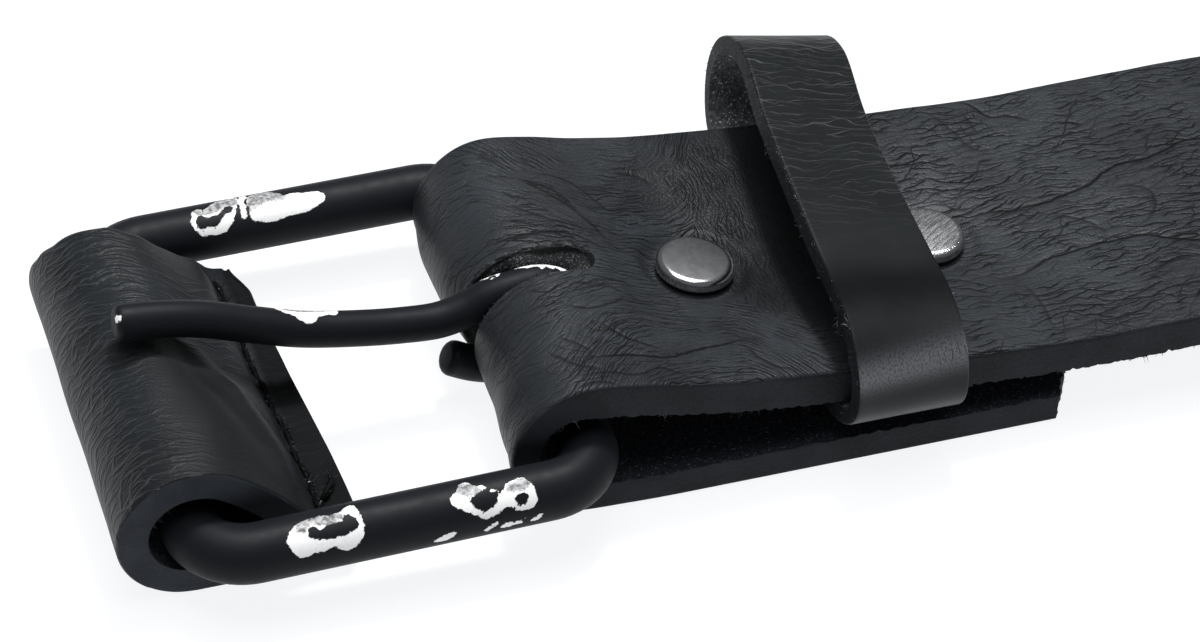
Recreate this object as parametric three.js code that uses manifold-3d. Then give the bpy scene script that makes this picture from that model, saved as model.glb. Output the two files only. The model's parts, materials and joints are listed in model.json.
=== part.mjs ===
import * as THREE from 'three';
import { mergeVertices } from 'three/addons/utils/BufferGeometryUtils.js';
import Module from 'manifold-3d';

// The buckle end of a black leather belt, lying on its back. The strap is folded round the bar of
// a heavy wire buckle and riveted to its own tail. A loose keeper loop hangs on the upper layer,
// and a leather sleeve is wrapped round the buckle's outer bar, where the prong rests.
// Millimetres. X runs along the belt from the hinge bar to the strap's free end, Y across it, Z up.
// Each part is drawn with X = 0 on the hinge bar, Y = 0 on the strap's middle and Z = 0 on the floor.

// Driving dimensions of the strap.
const STRAP_WIDTH = 35;
const UPPER_THICK = 3.4;
const TAIL_THICK = 2.8;
const FOLD_THICK = 2.4;
const TAIL_END_X = 45.8;
const TAIL_CORNER_CLIP = { alongX: 2.4, acrossY: 3.8 };
const FOLD = { x: -0.2, z: 7.2, radius: 6.85 };
const SLOT = { topEndX: 6.1, tailEndX: 8.6, width: 4.7, y: 0.25, corner: 1.5 };

// How far the fold is drawn in towards the hinge bar across the strap's width.
const FOLD_PINCH = [
  { y: -17.5, x: 0.05 },
  { y: -13.8, x: 0.55 },
  { y: -7, x: 1.25 },
  { y: 0, x: 1.5 },
  { y: 6.5, x: 0.8 },
  { y: 12, x: 0.75 },
  { y: 17.5, x: 1.5 },
];

// The hair side of the upper layer: its height at the edges, and how far its middle is pulled down.
const UPPER_LAYER = [
  { x: 4.5, edge: 13.4, dip: 0 },
  { x: 9, edge: 12.45, dip: 0.9 },
  { x: 15.1, edge: 11.45, dip: 2.0 },
  { x: 21, edge: 10.8, dip: 1.5 },
  { x: 28, edge: 10.2, dip: 1.2 },
  { x: 32.5, edge: 9.8, dip: 1.25 },
  { x: 36.9, edge: 9.45, dip: 1.75 },
  { x: 42, edge: 9.15, dip: 1.2 },
  { x: 49, edge: 8.95, dip: 0.4 },
  { x: 60, edge: 9.15, dip: 0 },
  { x: 69, edge: 9.35, dip: 0 },
  { x: 78, edge: 9.35, dip: 0 },
];

// The buckle: a closed rectangle of round wire, and a wire prong curled round its hinge bar.
const WIRE_RADIUS = 2.5;
const HINGE_BAR = { x: 0, z: 6.7 };
const OUTER_BAR = { x: -34, z: 6.05 };
const ROD_Y = 20.6;
const CORNER_RADIUS = 4.6;
const PRONG_RADIUS = 1.6;
const PRONG_CURL = { x: -0.1, z: 6.75, radius: 4.55 };
const PRONG_SHANK = [
  { x: -36.3, z: 15.2 },
  { x: -32.6, z: 14.8 },
  { x: -29, z: 14.0 },
  { x: -24.7, z: 12.4 },
  { x: -20.4, z: 10.9 },
  { x: -16.1, z: 9.95 },
  { x: -11.8, z: 9.3 },
  { x: -8.1, z: 9.1 },
  { x: -5.6, z: 9.75 },
  { x: -3.6, z: 10.7 },
];
const PRONG_STUB = [
  { x: -4.7, z: 3.3 },
  { x: -7.5, z: 4.8 },
];

// The sleeve: one strip round the outer bar, its two ends lying on each other as a flap.
const SLEEVE_THICK = 2.6;
const SLEEVE_NEAR_END = -17.5;
const SLEEVE_FAR_END = [
  { x: -40.35, y: 17.9 },
  { x: -39.5, y: 17.1 },
  { x: -38, y: 16.3 },
  { x: -33.9, y: 15.5 },
  { x: -31.7, y: 14.55 },
  { x: -29.5, y: 13.65 },
  { x: -28.2, y: 13.7 },
  { x: -25, y: 15.35 },
  { x: -23.4, y: 16 },
];
const SLEEVE_ROLL = { x: -33.9, z: 6.45, radius: 6.45 };
const SLEEVE_SLOPE_ANGLE = 50;
const SLEEVE_LAYER_GAP = 0.3;
const FLAP_SEAM_X = -23.4;
const FLAP_EDGE = [
  { y: -17.5, x: -20.2 },
  { y: 12.3, x: -21.7 },
  { y: 16, x: -22.8 },
];
const SLEEVE_RELIEF = [
  { y: -17.5, swell: 0.1 },
  { y: -10, swell: 0.5 },
  { y: -4, swell: 0 },
  { y: 0, swell: -0.7 },
  { y: 4, swell: -0.2 },
  { y: 10, swell: 0.3 },
  { y: 16, swell: 0 },
];

// The keeper: a closed band, given by the middle of its section and how far its face leans.
const KEEPER = { width: 10.4, thick: 1.6 };
const KEEPER_LOOP = [
  { place: 'under the middle', x: 28.4, y: 0, z: 4.0, lean: 0 },
  { place: 'under the near half', x: 27.9, y: -9, z: 4.2, lean: 0 },
  { place: 'under the near edge', x: 27.4, y: -16, z: 5.0, lean: -4 },
  { place: 'near foot', x: 27.3, y: -18.9, z: 6.8, lean: -4 },
  { place: 'near face', x: 27.3, y: -19.6, z: 9.4, lean: 6 },
  { place: 'near shoulder', x: 27.4, y: -18.9, z: 12.6, lean: 12 },
  { place: 'near top', x: 27.7, y: -15.5, z: 15.0, lean: 14 },
  { place: 'top, near half', x: 28.0, y: -8, z: 15.6, lean: 14 },
  { place: 'top, middle', x: 28.4, y: 0, z: 16.0, lean: 14 },
  { place: 'top, far half', x: 29.0, y: 9, z: 16.7, lean: 13 },
  { place: 'far top', x: 30.0, y: 17, z: 17.6, lean: 12 },
  { place: 'far shoulder', x: 30.2, y: 22, z: 15.4, lean: 8 },
  { place: 'far face', x: 30.2, y: 24.1, z: 11, lean: 5 },
  { place: 'far foot', x: 30, y: 23, z: 6.9, lean: 3 },
  { place: 'under the far edge', x: 29.5, y: 17, z: 5.0, lean: 0 },
  { place: 'under the far half', x: 29, y: 9, z: 4.2, lean: 0 },
];

// Double-capped rivets through both layers.
const RIVETS = [
  { name: 'rivet_1', x: 15.1, top: 10.75, tilt: 5.6 },
  { name: 'rivet_2', x: 37.1, top: 9.15, tilt: 1.5 },
];
const CAP = { radius: 3.5, flat: 3.0, thick: 1.25 };
const BACK_THICK = 0.9;
const POST = { outer: 1.6, bore: 1.3, stem: 1.0 };
const BACK_LIFT = 0.12;
const GAP = 0.3;

// Corners that a cut leaves closer together than this are joined, so that it leaves no slivers.
const WELD = 0.06;

const LEATHER = { color: 0x121417, roughness: 0.5, metalness: 0 };
const BLACK_PAINT = { color: 0x0d0d0f, roughness: 0.38, metalness: 0.2 };
const DARK_NICKEL = { color: 0x8a8a8c, roughness: 0.3, metalness: 1 };

const wasm = await Module();
wasm.setup();

// Joins rings with equal numbers of points into one closed body: a loop, or a strip with two ends.
function skin(rings, loop = false) {
  const count = rings[0].length;
  const faces = [];
  const quad = (a, b, c, d) => faces.push(a, b, c, a, c, d);
  const bands = loop ? rings.length : rings.length - 1;
  for (let i = 0; i < bands; i++) {
    const here = i * count;
    const next = ((i + 1) % rings.length) * count;
    for (let j = 0; j < count; j++) {
      const k = (j + 1) % count;
      quad(here + j, next + j, next + k, here + k);
    }
  }
  if (!loop) {
    const last = (rings.length - 1) * count;
    for (let j = 0; j < count / 2 - 1; j++) {
      const facing = count - 1 - j;
      quad(j, j + 1, facing - 1, facing);
      quad(last + facing, last + facing - 1, last + j + 1, last + j);
    }
  }
  const body = new THREE.BufferGeometry().setFromPoints(rings.flat());
  body.setIndex(signedVolume(rings.flat(), faces) < 0 ? faces.reverse() : faces);
  return body;
}

function signedVolume(points, faces) {
  let sum = 0;
  for (let i = 0; i < faces.length; i += 3) {
    const [a, b, c] = [points[faces[i]], points[faces[i + 1]], points[faces[i + 2]]];
    sum += a.dot(b.clone().cross(c)) / 6;
  }
  return sum;
}

function toManifold(geometry) {
  const bare = geometry.clone();
  bare.deleteAttribute('normal');
  bare.deleteAttribute('uv');
  const merged = mergeVertices(bare, 1e-4);
  return new wasm.Manifold(new wasm.Mesh({
    numProp: 3,
    vertProperties: new Float32Array(merged.attributes.position.array),
    triVerts: new Uint32Array(merged.index.array),
  }));
}

function cut(geometry, cutters) {
  let solid = toManifold(geometry);
  for (const cutter of cutters) solid = solid.subtract(toManifold(cutter));
  return weld(solid.getMesh());
}

function weld({ vertProperties, triVerts }) {
  const corners = [];
  const places = [];
  for (let i = 0; i < vertProperties.length; i += 3) {
    const point = new THREE.Vector3().fromArray(vertProperties, i);
    const near = corners.findIndex((corner) => corner.distanceTo(point) < WELD);
    places.push(near < 0 ? corners.push(point) - 1 : near);
  }
  const faces = [];
  for (let i = 0; i < triVerts.length; i += 3) {
    const face = [places[triVerts[i]], places[triVerts[i + 1]], places[triVerts[i + 2]]];
    if (new Set(face).size === 3) faces.push(...face);
  }
  return new THREE.BufferGeometry().setFromPoints(corners).setIndex(faces);
}

// Points of an arc in the side view, angles in degrees from +X towards +Z.
function arc({ x, z, radius }, from, to, steps) {
  return Array.from({ length: steps + 1 }, (_, i) => {
    const angle = THREE.MathUtils.degToRad(from + ((to - from) * i) / steps);
    return { x: x + radius * Math.cos(angle), z: z + radius * Math.sin(angle) };
  });
}

// The value of a column at a given y or x, smoothly between the table's rows.
function lookUp(table, key, at, column) {
  const next = table.findIndex((row) => row[key] >= at);
  if (next <= 0) return table[next === 0 ? 0 : table.length - 1][column];
  const [a, b] = [table[next - 1], table[next]];
  return THREE.MathUtils.lerp(a[column], b[column], THREE.MathUtils.smoothstep(at, a[key], b[key]));
}

function spread(from, to, cells) {
  return Array.from({ length: cells + 1 }, (_, i) => from + ((to - from) * i) / cells);
}

// Evenly spaced stations on a side line, each with its direction, its inward normal and its dip.
function stations(rows, count) {
  const curve = new THREE.CatmullRomCurve3(
    rows.map((row) => new THREE.Vector3(row.x, row.dip ?? 0, row.z)), false, 'centripetal');
  return spread(0, 1, count).map((u) => {
    const { x, y: dip, z } = curve.getPointAt(u);
    const along = curve.getTangentAt(u).setY(0).normalize();
    return { u, x, z: Math.max(z, 0), dip, inward: new THREE.Vector3(along.z, 0, -along.x) };
  });
}

// A folded strip of leather: the hair side at each station and width, then the flesh side inside it.
function foldedStrip(line, widths, hairAt, thicknessAt) {
  return skin(line.map((station) => {
    const hair = widths.map((y) => hairAt(station, y));
    const flesh = hair.map((point) => point.clone().addScaledVector(station.inward, thicknessAt(station)));
    return [...hair, ...flesh.reverse()];
  }));
}

function uprightCylinder(radius, bottom, top, sides = 22) {
  const cylinder = new THREE.CylinderGeometry(radius, radius, top - bottom, sides);
  return cylinder.rotateX(Math.PI / 2).translate(0, 0, (top + bottom) / 2);
}

// Turns a shape drawn on a rivet's own axis, with z = 0 under its cap, to its place in the strap.
function setOnRivet(geometry, rivet) {
  geometry.rotateY(THREE.MathUtils.degToRad(rivet.tilt));
  return geometry.translate(rivet.x, 0, rivet.top - CAP.thick);
}

// How far below its cap's underside a rivet's back ends, clear of the floor at its tilted edge.
function rivetReach(rivet) {
  const edgeDrop = CAP.radius * Math.sin(THREE.MathUtils.degToRad(rivet.tilt));
  return rivet.top - CAP.thick - BACK_LIFT - edgeDrop;
}

function strapBody() {
  const tail = spread(TAIL_END_X, 8, 4).map((x) => ({ x, z: 0 }));
  const line = stations([...tail, { x: 3.6, z: 0.12 }, ...arc(FOLD, -100, -270, 9),
    ...UPPER_LAYER.map(({ x, edge, dip }) => ({ x, z: edge, dip }))], 69);
  const half = STRAP_WIDTH / 2;
  const middleWeight = (y) => (1 + Math.cos((Math.PI * y) / half)) / 2;
  const { alongX, acrossY } = TAIL_CORNER_CLIP;
  const cornerClip = ({ u, x }, y) => (u > 0.2 ? 0
    : alongX * Math.max(0, 1 - (y + half) / acrossY) * Math.max(0, 1 - (TAIL_END_X - x) / (3 * alongX)));
  const pinch = (x, y) => lookUp(FOLD_PINCH, 'y', y, 'x') * (1 - THREE.MathUtils.smoothstep(x, -7, 14));
  const hairAt = (station, y) => new THREE.Vector3(
    station.x + pinch(station.x, y) - cornerClip(station, y),
    y, station.z - station.dip * middleWeight(y));
  const thicknessAt = ({ u, x }) => {
    const flat = THREE.MathUtils.lerp(TAIL_THICK, UPPER_THICK, THREE.MathUtils.smoothstep(u, 0.3, 0.45));
    return THREE.MathUtils.lerp(FOLD_THICK, flat, THREE.MathUtils.smoothstep(x, FOLD.x - FOLD.radius, 1.5));
  };
  const widths = [-half, -half + TAIL_CORNER_CLIP.acrossY, ...spread(-10.5, 10.5, 6), half - 3.8, half];
  return cut(foldedStrip(line, widths, hairAt, thicknessAt), [...slotCutters(), ...RIVETS.flatMap(rivetCutters)]);
}

// The prong's slot: open round the whole fold, and longer in the tail, where the prong's curl comes down.
function slotCutters() {
  const half = SLOT.width / 2;
  return [[SLOT.topEndX, FOLD.z, 20], [SLOT.tailEndX, -2, FOLD.z]].map(([endX, bottom, top]) => {
    const outline = new THREE.Shape([
      [-12, -half], [endX - SLOT.corner, -half], [endX, SLOT.corner - half],
      [endX, half - SLOT.corner], [endX - SLOT.corner, half], [-12, half],
    ].map(([x, y]) => new THREE.Vector2(x, y)));
    const slab = new THREE.ExtrudeGeometry(outline, { depth: top - bottom, bevelEnabled: false });
    return slab.translate(0, SLOT.y, bottom);
  });
}

function rivetCutters(rivet) {
  const reach = rivetReach(rivet);
  return [
    uprightCylinder(POST.outer + GAP, -reach - 2, 2),
    uprightCylinder(CAP.radius + GAP, -GAP, 4),
    uprightCylinder(CAP.radius + GAP, -reach - 2, -reach + BACK_THICK + GAP),
  ].map((cutter) => setOnRivet(cutter, rivet));
}

function lathe(profile) {
  const points = profile.map(([radius, height]) => new THREE.Vector2(radius, height));
  return new THREE.LatheGeometry(points, 28).rotateX(Math.PI / 2);
}

function rivetCap(rivet) {
  const stemEnd = -rivetReach(rivet) + BACK_THICK + GAP;
  return setOnRivet(lathe([
    [0, stemEnd], [POST.stem, stemEnd], [POST.stem, 0],
    [CAP.radius - 0.15, 0], [CAP.radius, 0.35], [CAP.radius - 0.12, CAP.thick - 0.3],
    [CAP.flat, CAP.thick], [0, CAP.thick],
  ]), rivet);
}

function rivetBack(rivet) {
  const bottom = -rivetReach(rivet);
  return setOnRivet(lathe([
    [0, bottom], [CAP.flat, bottom], [CAP.radius, bottom + 0.35], [CAP.radius, bottom + BACK_THICK],
    [POST.outer, bottom + BACK_THICK], [POST.outer, -GAP], [POST.bore, -GAP],
    [POST.bore, bottom + BACK_THICK], [0, bottom + BACK_THICK],
  ]), rivet);
}

// Rings of a round wire along points that lie in one plane, whose normal is given.
function wire(points, radius, sides, planeNormal, loop = false) {
  const rings = points.map((point, i) => {
    const before = points[loop ? (i + points.length - 1) % points.length : Math.max(i - 1, 0)];
    const after = points[loop ? (i + 1) % points.length : Math.min(i + 1, points.length - 1)];
    const across = after.clone().sub(before).cross(planeNormal).normalize();
    return Array.from({ length: sides }, (_, j) => {
      const angle = (2 * Math.PI * (j + 0.5)) / sides;
      return point.clone()
        .addScaledVector(across, radius * Math.cos(angle))
        .addScaledVector(planeNormal, radius * Math.sin(angle));
    });
  });
  return skin(rings, loop);
}

function buckleFrame() {
  const corners = [
    { x: HINGE_BAR.x, y: -ROD_Y, start: -90 },
    { x: HINGE_BAR.x, y: ROD_Y, start: 0 },
    { x: OUTER_BAR.x, y: ROD_Y, start: 90 },
    { x: OUTER_BAR.x, y: -ROD_Y, start: 180 },
  ];
  const fall = (HINGE_BAR.z - OUTER_BAR.z) / (HINGE_BAR.x - OUTER_BAR.x);
  const onPlane = (x, y) => new THREE.Vector3(x, y, HINGE_BAR.z + fall * x);
  const points = corners.flatMap((corner, i) => {
    const centreX = corner.x - Math.sign(corner.x - OUTER_BAR.x / 2) * CORNER_RADIUS;
    const centreY = corner.y - Math.sign(corner.y) * CORNER_RADIUS;
    const bend = spread(corner.start, corner.start + 90, 6).map((degrees) => {
      const angle = THREE.MathUtils.degToRad(degrees);
      return onPlane(centreX + CORNER_RADIUS * Math.cos(angle), centreY + CORNER_RADIUS * Math.sin(angle));
    });
    const following = corners[(i + 1) % 4];
    const middle = onPlane((corner.x + following.x) / 2, (corner.y + following.y) / 2);
    return [...bend, middle];
  });
  return wire(points, WIRE_RADIUS, 14, new THREE.Vector3(-fall, 0, 1).normalize(), true);
}

function prong() {
  const rows = [...PRONG_SHANK, ...arc(PRONG_CURL, 105, -95, 10), ...PRONG_STUB];
  const path = new THREE.CatmullRomCurve3(
    rows.map(({ x, z }) => new THREE.Vector3(x, 0, z)), false, 'centripetal');
  return wire(path.getSpacedPoints(52), PRONG_RADIUS, 12, new THREE.Vector3(0, 1, 0));
}

function barSleeve() {
  const flapTop = 2 * SLEEVE_THICK + SLEEVE_LAYER_GAP;
  const roll = arc(SLEEVE_ROLL, 270, SLEEVE_SLOPE_ANGLE, 12);
  const slopeStart = roll[roll.length - 1];
  const edgeX = FLAP_EDGE[0].x;
  const line = stations([
    { x: edgeX, z: 0 }, { x: FLAP_SEAM_X, z: 0 }, { x: -28.5, z: 0 }, ...roll,
    { x: (slopeStart.x + FLAP_SEAM_X) / 2, z: (slopeStart.z + flapTop) / 2 + 0.25 },
    { x: FLAP_SEAM_X - 0.9, z: flapTop + 0.75 }, { x: FLAP_SEAM_X + 0.7, z: flapTop }, { x: edgeX, z: flapTop },
  ], 44);
  const onFlap = ({ x }) => Math.max(0, (x - FLAP_SEAM_X) / (edgeX - FLAP_SEAM_X));
  const onSlope = ({ x, z }) => (z > flapTop + 0.2
    ? THREE.MathUtils.smoothstep(x, SLEEVE_ROLL.x, -29) * (1 - THREE.MathUtils.smoothstep(x, -27, FLAP_SEAM_X))
    : 0);
  const hairAt = (station, share) => {
    const farEnd = lookUp(SLEEVE_FAR_END, 'x', station.x, 'y');
    const y = THREE.MathUtils.lerp(SLEEVE_NEAR_END, farEnd, share);
    const trimmed = lookUp(FLAP_EDGE, 'y', y, 'x') - edgeX;
    const point = new THREE.Vector3(station.x + trimmed * onFlap(station), y, station.z);
    return point.addScaledVector(station.inward, -lookUp(SLEEVE_RELIEF, 'y', y, 'swell') * onSlope(station));
  };
  return foldedStrip(line, spread(0, 1, 14), hairAt, () => SLEEVE_THICK);
}

function keeper() {
  const centres = new THREE.CatmullRomCurve3(
    KEEPER_LOOP.map(({ x, y, z }) => new THREE.Vector3(x, y, z)), true, 'centripetal');
  const leans = new THREE.CatmullRomCurve3(
    KEEPER_LOOP.map(({ lean }, i) => new THREE.Vector3(lean, i, 0)), true, 'catmullrom');
  const rings = spread(0, 1, 56).slice(0, -1).map((u) => {
    const centre = centres.getPoint(u);
    const outward = new THREE.Vector3(1, 0, 0).cross(centres.getTangent(u)).normalize();
    const lean = THREE.MathUtils.degToRad(leans.getPoint(u).x);
    const across = new THREE.Vector3(Math.cos(lean), 0, 0).addScaledVector(outward, -Math.sin(lean));
    const face = outward.clone().multiplyScalar(Math.cos(lean)).setX(Math.sin(lean));
    const corner = (side, level) => centre.clone()
      .addScaledVector(across, (side * KEEPER.width) / 2)
      .addScaledVector(face, (level * KEEPER.thick) / 2);
    return [corner(-1, 1), corner(1, 1), corner(1, -1), corner(-1, -1)];
  });
  return skin(rings, true);
}

const belt = new THREE.Group();

function add(name, geometry, finish) {
  const mesh = new THREE.Mesh(geometry, new THREE.MeshStandardMaterial(finish));
  mesh.name = name;
  belt.add(mesh);
}

add('strap', strapBody(), LEATHER);
add('buckle_frame', buckleFrame(), BLACK_PAINT);
add('prong', prong(), BLACK_PAINT);
add('bar_sleeve', barSleeve(), LEATHER);
add('keeper', keeper(), LEATHER);
for (const rivet of RIVETS) {
  add(`${rivet.name}_cap`, rivetCap(rivet), DARK_NICKEL);
  add(`${rivet.name}_back`, rivetBack(rivet), DARK_NICKEL);
}

// The origin is under the middle of the whole part, on the surface that it lies on.
const box = new THREE.Box3().setFromObject(belt);
const middle = box.getCenter(new THREE.Vector3());
belt.position.set(-middle.x, -middle.y, -box.min.z);
belt.updateMatrixWorld(true);

export default belt;
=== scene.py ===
import json
import math
import random

import bpy
import numpy as np
from mathutils import Matrix, Vector, noise


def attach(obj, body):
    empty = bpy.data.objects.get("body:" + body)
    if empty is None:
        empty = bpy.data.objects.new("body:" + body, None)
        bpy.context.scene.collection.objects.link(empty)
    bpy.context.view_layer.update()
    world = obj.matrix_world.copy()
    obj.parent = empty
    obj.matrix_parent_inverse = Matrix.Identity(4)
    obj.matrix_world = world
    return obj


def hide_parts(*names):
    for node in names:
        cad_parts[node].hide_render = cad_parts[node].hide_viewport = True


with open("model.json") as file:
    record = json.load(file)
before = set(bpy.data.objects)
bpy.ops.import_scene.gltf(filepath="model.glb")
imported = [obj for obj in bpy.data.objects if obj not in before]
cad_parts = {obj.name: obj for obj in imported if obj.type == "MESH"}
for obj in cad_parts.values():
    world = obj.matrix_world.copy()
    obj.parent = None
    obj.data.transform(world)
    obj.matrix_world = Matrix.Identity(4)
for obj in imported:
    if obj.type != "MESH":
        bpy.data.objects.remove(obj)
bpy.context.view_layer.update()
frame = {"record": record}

# Camera
# The photograph's view, from 40 degrees above the surface and 20 degrees to the left of the belt's side.
# The pieces below are drawn in millimetres, with X = 0 on the buckle's hinge bar and Z = 0 on the floor.
MM = 0.001
CAMERA_PLACE = Vector((-77.952, -230.256, 213.230))
CAMERA_ANGLES = (-20.159, 40.252, 2.842)  # round the belt, above the floor and about the view, in degrees
LENS, SENSOR = 110.02, 36
hinge = frame["record"]["behaviour"]["joints"][0]["pos_m"]
origin = Vector((hinge[0], hinge[1], 0))
azimuth, elevation, roll = (math.radians(angle) for angle in CAMERA_ANGLES)
sideways = math.cos(elevation)
back = Vector((math.sin(azimuth) * sideways, -math.cos(azimuth) * sideways, math.sin(elevation)))
camera = bpy.data.objects.new("camera", bpy.data.cameras.new("camera"))
camera.data.lens = LENS
camera.data.sensor_width = SENSOR
camera.data.clip_start = 0.01
turn = back.to_track_quat("Z", "Y").to_matrix() @ Matrix.Rotation(roll, 3, "Z")
camera.matrix_world = Matrix.Translation(origin + CAMERA_PLACE * MM) @ turn.to_4x4()
bpy.context.scene.collection.objects.link(camera)
bpy.context.scene.camera = camera

# Light and floor
# A floor that runs out to pure white, a dim room, a small light high behind the belt, which throws the
# keeper's shadow on the strap, and a broad one overhead.
scene = bpy.context.scene
scene.view_settings.view_transform = "Standard"
scene.view_settings.look = "None"
room = bpy.data.worlds.new("room")
room.use_nodes = True
room.node_tree.nodes["Background"].inputs["Color"].default_value = (0.93, 0.97, 1.0, 1)
room.node_tree.nodes["Background"].inputs["Strength"].default_value = 0.15
scene.world = room


def soft_light(name, place, size, power):
    """A square lamp that points at the belt."""
    lamp = bpy.data.lights.new(name, "AREA")
    lamp.size = size
    lamp.energy = power
    light = bpy.data.objects.new(name, lamp)
    light.location = place
    light.rotation_euler = Vector(place).to_track_quat("Z", "Y").to_euler()
    scene.collection.objects.link(light)


soft_light("main_light", (0.10, 0.20, 0.66), 0.11, 4.0)
soft_light("overhead_light", (-0.05, 0.05, 0.9), 0.7, 5.4)
bpy.ops.object.select_all(action="DESELECT")
bpy.ops.mesh.primitive_plane_add(size=6)
floor = bpy.context.object
floor.name = "floor"
white = bpy.data.materials.new("white_floor")
white.use_nodes = True
glowing = {"Base Color": (0.16, 0.16, 0.163, 1), "Roughness": 0.7, "Specular IOR Level": 0.2,
           "Emission Color": (0.97, 0.985, 1.0, 1), "Emission Strength": 0.90}
for name, value in glowing.items():
    white.node_tree.nodes["Principled BSDF"].inputs[name].default_value = value
floor.data.materials.append(white)

# Strap
# One strip of black leather, 35 mm wide, folded round the hinge bar onto its own tail, with its hair side
# out. The fold is skived thin and has a slot for the prong. Two rivets hold the layers.
HALF = 17.5
TAIL_END, TAIL_CORNER_X, TAIL_CORNER_Y = 45.8, 2.4, 3.8
UPPER_THICK, TAIL_THICK, FOLD_THICK = 3.4, 2.8, 2.4
FOLD_X, FOLD_Z, FOLD_RADIUS = -0.2, 7.2, 6.85
SLOT_END, SLOT_WIDTH, SLOT_Y, SLOT_LIP_DROP = 5.6, 3.9, -0.05, 0.45
POST_HOLE, CAP_SEAT = 1.7, 1.3  # the radius of a rivet's hole, and the leather's depth under a cap's top
FOLD_PINCH = [(-17.5, 0.05), (-13.8, 0.55), (-7, 1.25), (0, 1.5), (6.5, 0.8), (12, 0.75), (17.5, 1.5)]
UPPER_LAYER = [  # x, height at the edges, how far the middle is pulled down
    (4.5, 13.4, 0), (9, 12.45, 0.9), (15.1, 11.45, 2.0), (21, 10.8, 1.5), (28, 10.2, 1.2), (32.5, 9.8, 1.25),
    (36.9, 9.45, 1.75), (42, 9.15, 1.2), (49, 8.95, 0.4), (60, 9.15, 0), (69, 9.35, 0), (78, 9.35, 0)]
RIVETS = [(15.1, 10.75, 5.6), (37.1, 9.15, 1.5)]  # x, top of the cap, tilt in degrees
COARSE, FINE, RIM = 0.8, 0.3, 0.6  # columns of the hidden tail, of the rest, and the outermost ones
HAIR, CUT, FLESH, SLOT_WALL = range(4)  # the finishes of a piece of leather


def eased(value, low, high):
    """0 below low, 1 above high, and smoothly between them."""
    t = np.clip((value - low) / (high - low), 0, 1)
    return t * t * (3 - 2 * t)


def looked_up(table, value, column=1):
    """A column of a table at a value of its first column, smoothly between the rows."""
    result = np.full_like(np.asarray(value, float), table[0][column])
    for low, high in zip(table, table[1:]):
        result = result + (high[column] - low[column]) * eased(value, low[0], high[0])
    return result


def smooth_line(points, step, closed=False):
    """Evenly spaced points about `step` apart on a smooth line through the given ones."""
    points = [Vector(point) for point in points]
    ring = len(points)

    def corner(i):
        if closed:
            return points[i % ring]
        if i < 0:
            return points[0] * 2 - points[1]
        return points[i] if i < ring else points[-1] * 2 - points[-2]

    dense = []
    for i in range(ring if closed else ring - 1):
        before, start, end, after = (corner(i + k) for k in (-1, 0, 1, 2))
        a, b, c = ((q - p).length ** 0.5 for p, q in ((before, start), (start, end), (end, after)))
        leave = ((start - before) / a - (end - before) / (a + b) + (end - start) / b) * b
        arrive = ((end - start) / b - (after - start) / (b + c) + (after - end) / c) * b
        for k in range(60):
            t = k / 60
            dense.append(start * (2 * t**3 - 3 * t**2 + 1) + leave * (t**3 - 2 * t**2 + t)
                         + end * (3 * t**2 - 2 * t**3) + arrive * (t**3 - t**2))
    dense.append(corner(ring if closed else ring - 1))
    dense = np.array(dense)
    along = run_along(dense)
    stops = np.linspace(0, along[-1], max(2, round(along[-1] / step)) + 1)
    line = np.stack([np.interp(stops, along, dense[:, axis]) for axis in range(dense.shape[1])], axis=1)
    return line[:-1] if closed else line


def arc(x, z, radius, start, end, steps):
    angles = np.radians(np.linspace(start, end, steps + 1))
    return [(x + radius * math.cos(angle), z + radius * math.sin(angle)) for angle in angles]


def run_along(points):
    """How far each point of a line is from its start, along the line."""
    return np.concatenate([[0], np.cumsum(np.linalg.norm(np.diff(points, axis=0), axis=1))])


def only(piece):
    bpy.ops.object.select_all(action="DESELECT")
    piece.select_set(True)
    bpy.context.view_layer.objects.active = piece


def pick(piece, kind, chosen):
    """Opens a piece for editing with only the given vertices, edges or faces selected."""
    only(piece)
    bpy.ops.object.mode_set(mode="EDIT")
    bpy.ops.mesh.select_mode(type=kind)
    bpy.ops.mesh.select_all(action="DESELECT")
    bpy.ops.object.mode_set(mode="OBJECT")
    parts = {"VERT": piece.data.vertices, "EDGE": piece.data.edges, "FACE": piece.data.polygons}[kind]
    parts.foreach_set("select", np.asarray(chosen, bool))
    bpy.ops.object.mode_set(mode="EDIT")


def pick_all(piece):
    """Opens a piece for editing with all of it selected."""
    only(piece)
    bpy.ops.object.mode_set(mode="EDIT")
    bpy.ops.mesh.select_all(action="SELECT")


def done():
    bpy.ops.object.mode_set(mode="OBJECT")


def listed(items, name, width=1, kind=int):
    """A property of all the vertices, edges, faces or corners of a piece."""
    values = np.empty(len(items) * width, kind)
    items.foreach_get(name, values)
    return values.reshape(-1, width) if width > 1 else values


def places(piece):
    return listed(piece.data.vertices, "co", 3, float)


def normals(piece):
    return listed(piece.data.vertices, "normal", 3, float)


def ends_of_edges(piece):
    return listed(piece.data.edges, "vertices", 2)


def middle_of_edges(piece):
    return places(piece)[ends_of_edges(piece)].mean(axis=1)


def move_to(piece, found):
    piece.data.vertices.foreach_set("co", np.asarray(found).ravel())
    piece.data.update()


def flat_strip(name, stops, rows):
    """A flat sheet of leather with its columns and rows at the given places, which its UV map keeps."""
    bpy.ops.object.select_all(action="DESELECT")
    bpy.ops.mesh.primitive_grid_add(x_subdivisions=len(stops) - 1, y_subdivisions=len(rows) - 1, size=1)
    sheet = bpy.context.object
    sheet.name = sheet.data.name = name
    grid_x, grid_y = np.meshgrid(stops, rows)
    move_to(sheet, np.stack([grid_x.ravel(), grid_y.ravel(), np.zeros(grid_x.size)], axis=1))
    flat = places(sheet)[:, :2] * 0.01
    corners = listed(sheet.data.loops, "vertex_index")
    sheet.data.uv_layers.active.data.foreach_set("uv", flat[corners].ravel())
    return sheet


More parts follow.
